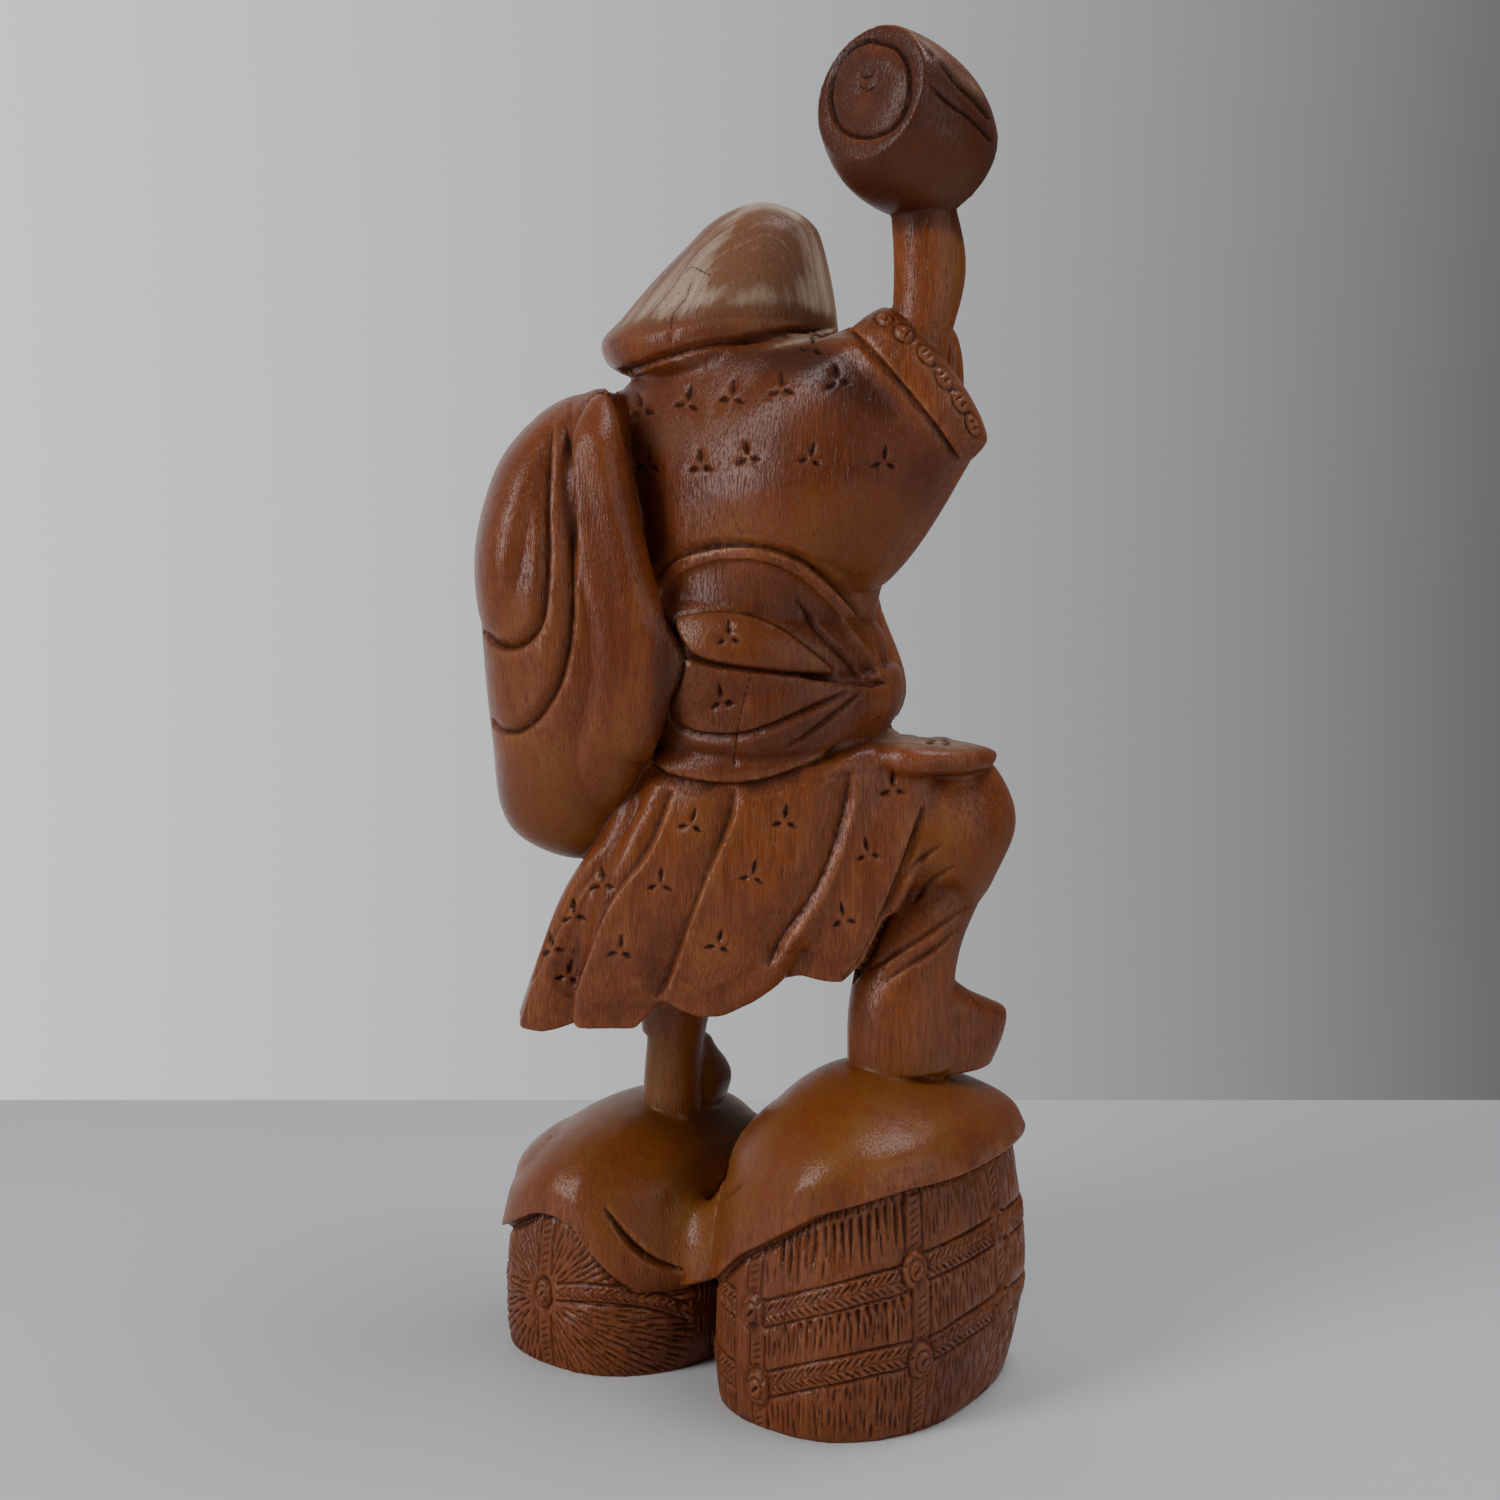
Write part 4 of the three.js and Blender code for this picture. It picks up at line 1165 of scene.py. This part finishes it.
FRONT_TREFOILS = [
    (-60, -262), (-63, -236), (-30, -252), (-34, -222), (8, -258), (4, -216), (43, -250), (45, -205),
    (76, -248), (82, -196), (-22, -352), (66, -352), (-18, -318), (58, -320),
]
FINGERS = [[(54, -428), (62, -410)], [(59, -425), (67, -406)], [(64, -421), (72, -402)]]
NECK_FOLDS = [
    [(68, -424), (76, -440), (86, -452)], [(74, -420), (82, -436), (92, -446)],
    [(80, -418), (88, -430), (97, -438)],
]
FRONT_CREASES = [[(-58, -290), (-66, -262), (-74, -236)], [(98, -270), (92, -300), (84, -330)]]
SACK_SIDE_FOLDS = [
    [(-14, -446), (-2, -410), (4, -360), (-2, -310)],
    [(-22, -448), (-16, -408), (-14, -350), (-20, -290)],
    [(-30, -446), (-32, -400), (-36, -344), (-38, -300)],
]


def on_face(points, side=1):
    """Points drawn from the middle of the face, on one side of it."""
    return [(FACE[0] + side * a, FACE[1] + b) for a, b in points]


def draw_face(board, rng):
    for side in (-1, 1):
        for line, depth, width, taper in FACE_FOLDS:
            board.fold(on_face(line, side), depth, left=width, right=width, taper=taper)
        for shift in (-1.2, 1.2):
            board.cut(on_face([(a + 1, b + shift) for a, b in MOUSTACHE], side), 1.2, 0.8)
        collar = [(a - side * spread, -z) for (a, z), spread in zip(COLLAR, COLLAR_SPREAD)]
        board.fold(collar, 1.3, left=1.2, right=1.2, taper=(0.05, 0.05))
    board.cut(on_face(MOUTH), 2.4, 1.8, taper=(0.3, 0.3))
    x, y = FACE
    for strand in range(-5, 6):
        top = (x + 4.1 * strand + rng.uniform(-0.6, 0.6), y + 32 + 0.5 * abs(strand))
        bend = (x + 3.4 * strand + rng.uniform(-1.2, 1.2), y + 46)
        tip = (x + 1.3 * strand, y + 66 - 1.6 * abs(strand))
        board.cut([top, bend, tip], 1.9, 1.4, taper=(0.25, 0.4))


def draw_front(board, rng):
    draw_face(board, rng)
    for line in SASH_LINES:
        board.fold(line, 2.2, left=1.4, right=3, taper=(0.1, 0.1))
    for line in FINGERS + NECK_FOLDS:
        board.fold(line, 1.8, left=1.5, right=1.5, taper=(0.25, 0.25))
    for line in FRONT_CREASES:
        board.fold(line, 2.0, left=1.6, right=4, taper=(0.3, 0.3))
    for number, centre in enumerate(FRONT_TREFOILS):
        board.trefoil(centre, size=8.2, turn=math.radians(-10 + 7 * (number % 4)))


def press_level(piece, board, turn):
    """Carves a board of millimetres into what is seen from one side, turned from the chest's front."""
    places, normals = places_of(piece), normals_of(piece)
    c, s = math.cos(turn), math.sin(turn)
    r, f = chest_places(places[:, 0], places[:, 1])
    side, front = chest_places(normals[:, 0], normals[:, 1])
    across, down = f * s - r * c, -places[:, 2]
    weight = eased(side * s + front * c, 0.1, 0.4) * nearest(across, down, -(r * s + f * c), 1.5, slack=4)
    move_to(piece, places + normals * (board.at(across, down) * weight)[:, None])


def side_board(half):
    """A board of millimetres, as tall as the robe and the head."""
    return Board(-half, -480, half, -150, 0.5, 1.0)


def press_hidden_sides(piece):
    front = side_board(120)
    draw_front(front, random.Random(5))
    press_level(piece, front, 0)
    left = side_board(100)
    for line in SACK_SIDE_FOLDS:
        left.fold(line, 2.2, left=1.8, right=5, taper=(0.3, 0.3))
    press_level(piece, left, math.radians(-90))


def mallet_places(places):
    """Places measured along the mallet's own axes."""
    back = np.array(mallet_frame().inverted())
    return places @ back[:3, :3].T + back[:3, 3]


def press_mallet_end(piece):
    """A ring cut into the mallet's far end, as on its near end."""
    places, normals = places_of(piece), normals_of(piece)
    own = mallet_places(places)
    away = np.hypot(own[:, 0], own[:, 2])
    groove = 2.0 * np.clip(1 - np.abs(away - 0.68 * MALLET_END) / 1.7, 0, 1)
    groove *= (own[:, 1] < -0.9 * MALLET_LENGTH / 2) * (own[:, 1] > -0.6 * MALLET_LENGTH)
    move_to(piece, places - normals * groove[:, None])


# The finished piece
def zone(piece, outlines, blur):
    """The strength of (strength, outline) zones of frame pixels, on what the camera sees."""
    board = frame_board(2.0)
    for strength, outline in outlines:
        board.layer(outline, strength, blur)
    u, v, depth = seen(places_of(piece))
    return np.minimum(board.at(u, v), 1) * nearest(u, v, depth, slack=12)


def soften(piece, outline, rounds):
    """Smooths what the camera sees inside an outline of frame pixels."""
    steps = np.round(zone(piece, [(1.0, outline)], 8) * WEIGHTS).astype(int)
    group = piece.vertex_groups.new(name="softened")
    for step in range(1, WEIGHTS + 1):
        group.add(np.flatnonzero(steps == step).tolist(), step / WEIGHTS, "REPLACE")
    smoothed(piece, rounds, vertex_group="softened")
    piece.vertex_groups.clear()


def mask(piece, name, values):
    """Keeps a number from 0 to 1 for each vertex, for the finish to read."""
    attribute = piece.data.attributes.new(name, "FLOAT", "POINT")
    attribute.data.foreach_set("value", np.clip(values, 0, 1).astype(np.float32))


def hollowness(piece, rounds):
    """How far each place lies under, or over, its smoothed surroundings, in millimetres."""
    places, normals = places_of(piece), normals_of(piece)
    copy = piece.copy()
    copy.data = piece.data.copy()
    bpy.context.scene.collection.objects.link(copy)
    smoothed(copy, rounds)
    under = ((places_of(copy) - places) * normals).sum(1)
    spent = copy.data
    bpy.data.objects.remove(copy)
    bpy.data.meshes.remove(spent)
    return under


def cut_into(piece, board, low, high):
    """Where the camera sees a board of frame pixels cut in, by depths in millimetres."""
    u, v, depth = seen(places_of(piece))
    return eased(-board.at(u, v), low, high) * nearest(u, v, depth)


def relief_masks(piece, marks):
    """Painted shade where the block is hollow and in its cut marks, and where its edges are rubbed."""
    near, wide = hollowness(piece, 6), hollowness(piece, 60)
    marked = cut_into(piece, marks, 0.25, 1.1)
    # The hollow mask is painted shade: strong in narrow creases and cut marks, weaker over broad hollows and
    # beside the sack's edge.
    crease_shade = 2.4 * np.maximum(near, 0) + 0.32 * np.maximum(wide - 0.2, 0)
    mask(piece, "hollow", crease_shade * (1 - 0.75 * zone(piece, [(1, BESIDE_SACK)], 8)) + 0.8 * marked)
    mask(piece, "edge", 3.0 * np.maximum(-near - 0.03, 0) + 0.7 * np.maximum(-wide - 0.25, 0))


def stain_masks(piece):
    """Where the stain is soaked in, with painted shade in places, where it is golden, and where it is worn
    off, with a painted highlight in places.
    """
    places, normals = places_of(piece), normals_of(piece)
    x, y, z = places.T
    hem = z - cloth_hem(x, y)
    cloth = eased(hem, 2, 18) * (z < RIGHT_SOLE + 1)
    # The soak zones include painted shadow of the leg on the left cloth dome.
    soak_and_shade = zone(piece, SOAK_AND_SHADE_ZONES, 14) + 0.25 * (hem < 0)
    # The mallet is soaked dark; as painted light, its upward faces get less of it, so its underside reads as
    # painted shade.
    own = mallet_places(places)
    on_mallet = (np.abs(own[:, 1]) < 40) * (np.hypot(own[:, 0], own[:, 2]) < 38) * (z > 500)
    mask(piece, "soak_and_shade", soak_and_shade + on_mallet * (0.9 - 0.6 * eased(normals[:, 2], 0.3, 0.8)))
    mask(piece, "golden", 0.9 * cloth + zone(piece, GOLDEN_ZONES, 16))
    # The hat is worn pale above its brim, and most at the tip.
    crown = eased(z, 468, 488) * (x < 45) * (y > -12) * (z < 545)
    crown *= 0.32 + 0.3 * eased(z, 520, 536)
    scratches = frame_board(0.5)
    for line in SCRATCHES:
        scratches.cut(line, 0.9, 0.6, taper=(0.3, 0.3))
    # The pale mask is real wear, with a painted highlight on the shoulder's rim and the flap's top.
    mask(piece, "wear_and_highlight", crown + zone(piece, WEAR_AND_HIGHLIGHT_ZONES, 9) + 0.5 * cut_into(piece, scratches, 0.05, 0.3))


def to_frame(piece):
    places = places_of(piece) * MM
    x, y = turned(places[:, 0], places[:, 1], TURN)
    places[:, 0] = x + LAYOUT_ORIGIN[0] * MM
    places[:, 1] = y + LAYOUT_ORIGIN[1] * MM
    places[:, 2] = np.maximum(places[:, 2], 0)
    move_to(piece, places)


def carve():
    piece = carved_block()
    for outline, rounds in SOFT_ZONES:
        soften(piece, outline, rounds)
    folds, marks = frame_board(1.0), frame_board(0.5)
    draw_folds(folds)
    press_seen(piece, folds)
    draw_marks(marks)
    press_seen(piece, marks)
    press_hidden_sides(piece)
    press_mallet_end(piece)
    press_bales(piece)
    relief_masks(piece, marks)
    stain_masks(piece)
    triangles = sum(len(face.vertices) - 2 for face in piece.data.polygons)
    modified(piece, "DECIMATE", ratio=min(1, TRIANGLES / triangles))
    to_frame(piece)
    piece.data.polygons.foreach_set("use_smooth", [True] * len(piece.data.polygons))
    return piece


# Finish
# Dark stain of the grain, also used for painted shade where the soak mask holds the leg's shadow and the
# mallet's underside.
DARK_STAIN_AND_SHADE = (0.080, 0.013, 0.002, 1)
RED_STAIN = (0.175, 0.040, 0.007, 1)
LIGHT_STAIN = (0.270, 0.086, 0.026, 1)
GOLDEN_STAIN = (0.165, 0.062, 0.005, 1)
# Near black, for grime in the pores and soaked stain, and for painted shade in hollows, cut marks and under
# the leg.
GRIME_AND_SHADE = (0.014, 0.003, 0.001, 1)
RUBBED_WOOD = (0.320, 0.125, 0.048, 1)
# The dusty and bare wood colours also paint the highlights on the shoulder's rim and the flap's top.
DUSTY_WOOD_AND_HIGHLIGHT = (0.160, 0.078, 0.042, 1)
BARE_WOOD_AND_HIGHLIGHT = (0.520, 0.410, 0.310, 1)
PITH = (30, -230, 0)  # where the log's growth rings have their centre, in the layout


def in_frame(place):
    """A place in the layout, in the frame's metres."""
    x, y = turned(place[0], place[1], TURN)
    return (x + LAYOUT_ORIGIN[0]) * MM, (y + LAYOUT_ORIGIN[1]) * MM, place[2] * MM


class Nodes:
    """Adds nodes to a tree; an input is given as a value or as the socket that feeds it."""

    def __init__(self, tree):
        self.tree = tree

    def add(self, kind, out=0, inputs=None, **settings):
        made = self.tree.nodes.new(kind)
        for name, value in settings.items():
            setattr(made, name, value)
        for name, value in (inputs or {}).items():
            if isinstance(value, bpy.types.NodeSocket):
                self.tree.links.new(value, made.inputs[name])
            else:
                made.inputs[name].default_value = value
        return made.outputs[out]

    def math(self, operation, first, second, clamp=False):
        return self.add("ShaderNodeMath", inputs={0: first, 1: second}, operation=operation, use_clamp=clamp)

    def times(self, first, second, clamp=False):
        return self.math("MULTIPLY", first, second, clamp)

    def plus(self, first, second):
        return self.math("ADD", first, second)

    def minus(self, first, second, clamp=False):
        return self.math("SUBTRACT", first, second, clamp)

    def vector(self, operation, *inputs, out=0):
        return self.add("ShaderNodeVectorMath", out=out, inputs=dict(enumerate(inputs)), operation=operation)

    def noise(self, vector, scale, detail, roughness, distortion=0.0):
        values = {"Vector": vector, "Scale": scale, "Detail": detail, "Roughness": roughness}
        return self.add("ShaderNodeTexNoise", inputs={**values, "Distortion": distortion})

    def grain(self, place, along, *noise):
        """Noise drawn out along the grain, which runs up the block."""
        return self.noise(self.vector("MULTIPLY", place, (1, 1, along)), *noise)

    def between(self, value, low, high, least=0.0, most=1.0):
        values = {"Value": value, "From Min": low, "From Max": high, "To Min": least, "To Max": most}
        return self.add("ShaderNodeMapRange", inputs=values)

    def blend(self, share, first, second):
        return self.add("ShaderNodeMix", out=2, inputs={0: share, 6: first, 7: second}, data_type="RGBA")

    def attribute(self, name):
        return self.add("ShaderNodeAttribute", out="Fac", attribute_name=name)


def growth_rings(nodes, place):
    """Noise that follows the distance from the pith, a little warped."""
    away = nodes.vector("SUBTRACT", place, in_frame(PITH))
    away = nodes.vector("MULTIPLY", away, (1, 1, 0))
    away = nodes.vector("LENGTH", away, out="Value")
    warp = nodes.times(nodes.noise(place, 16, 2, 0.5), 0.02)
    ring = nodes.add("ShaderNodeCombineXYZ", inputs={0: nodes.plus(away, warp)})
    return nodes.noise(ring, 210, 4, 0.65)


class Wood:
    """What the finish is mixed from: the wood's grain, and the masks kept on the piece."""

    def __init__(self, nodes):
        place = nodes.add("ShaderNodeTexCoord", out="Object")
        self.streaks = nodes.grain(place, 0.045, 260, 4, 0.6)
        self.fibres = nodes.grain(place, 0.05, 1300, 2, 0.5)
        self.pores = nodes.between(nodes.grain(place, 0.10, 1500, 1, 0.5), 0.60, 0.72)
        self.scuffs = nodes.grain(place, 0.35, 310, 5, 0.75)
        self.pits = nodes.grain(place, 0.5, 1100, 2, 0.6)
        self.patches = nodes.noise(place, 13, 4, 0.6)
        self.smudges = nodes.noise(place, 24, 4, 0.55)
        self.ripples = nodes.noise(place, 120, 1, 0.4)
        broad = nodes.grain(place, 0.16, 34, 3, 0.55, 0.6)
        self.tone = nodes.plus(nodes.times(broad, 0.6), nodes.times(self.streaks, 0.4))
        self.rings = growth_rings(nodes, place)
        self.hollow, self.edge, self.golden, self.wear_and_highlight = (
            nodes.attribute(name) for name in ("hollow", "edge", "golden", "wear_and_highlight")
        )
        self.soak_and_shade = nodes.minus(nodes.attribute("soak_and_shade"), nodes.times(self.golden, 0.3), clamp=True)


def stain(nodes, wood):
    """Dark, red and light stain by the grain, and golden stain over it on the cloth and in patches."""
    colour = nodes.blend(nodes.between(wood.tone, 0.26, 0.50), DARK_STAIN_AND_SHADE, RED_STAIN)
    for share, tint in (
        (nodes.between(wood.tone, 0.50, 0.72, 0, 0.7), LIGHT_STAIN),
        (nodes.between(wood.fibres, 0.50, 0.72, 0, 0.5), LIGHT_STAIN),
        (nodes.between(wood.fibres, 0.50, 0.30, 0, 0.4), DARK_STAIN_AND_SHADE),
        (nodes.between(wood.smudges, 0.50, 0.70, 0, 0.6), DARK_STAIN_AND_SHADE),
    ):
        colour = nodes.blend(share, colour, tint)
    gold = nodes.plus(wood.golden, nodes.between(wood.patches, 0.5, 0.75, 0, 0.45))
    golden_tint = nodes.blend(nodes.between(wood.tone, 0.4, 0.62), RED_STAIN, GOLDEN_STAIN)
    return nodes.blend(nodes.times(gold, 0.75, clamp=True), colour, golden_tint)


def wear(nodes, wood, colour):
    """The stain rubbed, soaked and darkened with painted shade, worn to the bare wood with a painted
    highlight in places, nicked, grimed in its pores and darkened with painted shade in its hollows and cut
    marks, in that order.
    """
    chafed = nodes.times(wood.edge, nodes.between(wood.scuffs, 0.44, 0.62, 0.15, 1.0), clamp=True)
    soaked_and_shaded = nodes.times(wood.soak_and_shade, nodes.between(wood.patches, 0.3, 0.6, 0.95, 0.7))
    bare_and_lit = nodes.plus(wood.wear_and_highlight, nodes.between(wood.rings, 0.36, 0.64, -0.15, 0.15))
    bare_and_lit = nodes.plus(bare_and_lit, nodes.between(wood.streaks, 0.3, 0.7, -0.06, 0.06))
    nick = nodes.between(wood.scuffs, 0.66, 0.74)
    nick = nodes.times(nick, nodes.between(wood.patches, 0.5, 0.6), clamp=True)
    for share, tint in (
        (nodes.times(chafed, 0.7), RUBBED_WOOD),
        # soaked stain, with painted shade of the leg on the left cloth dome and of the mallet's underside
        (soaked_and_shaded, DARK_STAIN_AND_SHADE),
        (nodes.between(wood.soak_and_shade, 0.45, 1.0, 0, 0.6), GRIME_AND_SHADE),
        # worn wood, and painted highlight on the shoulder's rim and the flap's top
        (nodes.between(wood.wear_and_highlight, 0.0, 0.4, 0, 0.85), DUSTY_WOOD_AND_HIGHLIGHT),
        (nodes.between(bare_and_lit, 0.36, 1.0, 0, 0.95), BARE_WOOD_AND_HIGHLIGHT),
        (nodes.times(nick, 0.5), RUBBED_WOOD),
        (nodes.times(wood.pores, 0.35), GRIME_AND_SHADE),
        # painted shade in hollows and cut marks
        (nodes.times(wood.hollow, 0.9), GRIME_AND_SHADE),
    ):
        colour = nodes.blend(share, colour, tint)
    return colour


def roughness(nodes, wood):
    rough = nodes.between(wood.streaks, 0.3, 0.7, 0.42, 0.55)
    rough = nodes.plus(rough, nodes.times(wood.wear_and_highlight, 0.25))
    return nodes.plus(rough, nodes.times(wood.hollow, 0.2))


def polish(nodes, wood):
    """Satin polish, thinner in hollows and on soaked and shade-painted parts, and gone where the wood is worn
    and where a highlight is painted.
    """
    coat = nodes.between(wood.patches, 0.35, 0.7, 0.5, 0.26)
    coat = nodes.minus(coat, nodes.times(wood.hollow, 0.4))
    coat = nodes.minus(coat, nodes.times(wood.soak_and_shade, 0.12))
    return nodes.minus(coat, nodes.times(wood.wear_and_highlight, 0.6), clamp=True)


def surface(nodes, wood):
    height = nodes.minus(nodes.times(wood.fibres, 0.5), nodes.times(wood.pores, 0.6))
    height = nodes.plus(height, nodes.times(wood.ripples, 0.9))
    height = nodes.plus(height, nodes.times(wood.pits, 0.55))
    return nodes.add("ShaderNodeBump", inputs={"Height": height, "Strength": 0.7, "Distance": 0.0004})


def stained_wood():
    """Reddish-brown stain under a worn satin polish."""
    material = bpy.data.materials.new("stained wood")
    material.use_nodes = True
    tree = material.node_tree
    nodes = Nodes(tree)
    wood = Wood(nodes)
    bump = surface(nodes, wood)
    shader = tree.nodes["Principled BSDF"].inputs
    shader["Specular IOR Level"].default_value = 0.14
    shader["Coat Roughness"].default_value = 0.19
    for name, socket in (
        ("Base Color", wear(nodes, wood, stain(nodes, wood))),
        ("Roughness", roughness(nodes, wood)),
        ("Coat Weight", polish(nodes, wood)),
        ("Normal", bump),
        ("Coat Normal", bump),
    ):
        tree.links.new(socket, shader[name])
    return material


# Studio
FLOOR_SIZE = 8  # metres
FLOOR_END = 430  # the floor meets the backdrop here, along the layout's y
BACKDROP_LEFT = 0.95
BACKDROP_RIGHT = 0.15
ROOM_GLOW = 0.15  # of the backdrop's brightness, behind the camera
FLOOR_PAINT = (0.58, 0.58, 0.585, 1)
BACKDROP_PAINT = (0.97, 0.98, 1.0, 1)
FIGURE_MIDDLE = (0, 0, 0.3)  # what the lights face, in the frame's metres
SENSOR = 36  # millimetres across


def floor():
    ground = bmesh.new()
    bmesh.ops.create_grid(ground, x_segments=1, y_segments=1, size=FLOOR_SIZE / 2)
    centre = Vector(in_frame((0, FLOOR_END - FLOOR_SIZE / MM / 2, 0)))
    bmesh.ops.rotate(ground, matrix=Matrix.Rotation(TURN, 3, "Z"), verts=ground.verts)
    bmesh.ops.translate(ground, vec=centre, verts=ground.verts)
    mesh = bpy.data.meshes.new("floor")
    ground.to_mesh(mesh)
    ground.free()
    piece = bpy.data.objects.new("floor", mesh)
    bpy.context.scene.collection.objects.link(piece)
    paint = bpy.data.materials.new("pale floor")
    paint.use_nodes = True
    shader = paint.node_tree.nodes["Principled BSDF"].inputs
    shader["Base Color"].default_value = FLOOR_PAINT
    shader["Roughness"].default_value = 0.6
    mesh.materials.append(paint)


def soft_box(name, place, size, power, colour):
    """A soft light at a place in the layout, turned to the figure."""
    light = bpy.data.lights.new(name, "AREA")
    light.shape = "RECTANGLE"
    light.size, light.size_y = size
    light.energy = power
    light.color = colour
    holder = bpy.data.objects.new(name, light)
    holder.location = in_frame(place)
    toward = Vector(FIGURE_MIDDLE) - holder.location
    holder.rotation_euler = toward.to_track_quat("-Z", "Y").to_euler()
    bpy.context.scene.collection.objects.link(holder)


def camera():
    view = bpy.data.cameras.new("camera")
    view.sensor_width = SENSOR
    view.lens = FOCAL / FRAME_SIZE * view.sensor_width
    holder = bpy.data.objects.new("camera", view)
    holder.location = in_frame(EYE)
    holder.rotation_euler = (math.pi / 2 - PITCH, 0, TURN)
    bpy.context.scene.collection.objects.link(holder)
    bpy.context.scene.camera = holder


def studio():
    """A grey backdrop, lighter to the left, with a dim room behind the camera."""
    world = bpy.data.worlds.new("studio")
    world.use_nodes = True
    nodes = Nodes(world.node_tree)
    way = nodes.add("ShaderNodeTexCoord", out="Generated")
    ahead = (-math.sin(TURN), math.cos(TURN), 0)
    right = (math.cos(TURN), math.sin(TURN), 0)
    deep = nodes.vector("DOT_PRODUCT", way, ahead, out="Value")
    aside = nodes.vector("DOT_PRODUCT", way, right, out="Value")
    glow = nodes.between(deep, 0.1, 0.85, ROOM_GLOW, 1.0)
    glow = nodes.times(glow, nodes.between(aside, -0.33, 0.33, BACKDROP_LEFT, BACKDROP_RIGHT))
    backdrop = world.node_tree.nodes["Background"]
    backdrop.inputs["Color"].default_value = BACKDROP_PAINT
    world.node_tree.links.new(glow, backdrop.inputs["Strength"])
    bpy.context.scene.world = world
    soft_box("window", (-1350, -850, 1000), (0.6, 1.6), 27, (0.97, 0.98, 1.0))
    soft_box("skylight", (550, 50, 1700), (0.9, 0.7), 14, (0.90, 0.93, 1.0))
    soft_box("fill", (1300, -1100, 700), (2.0, 1.6), 13, (1.0, 0.99, 0.97))


camera()
piece = carve()
piece.data.materials.append(stained_wood())
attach(piece, "root")
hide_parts("daikoku_figure")
floor()
studio()
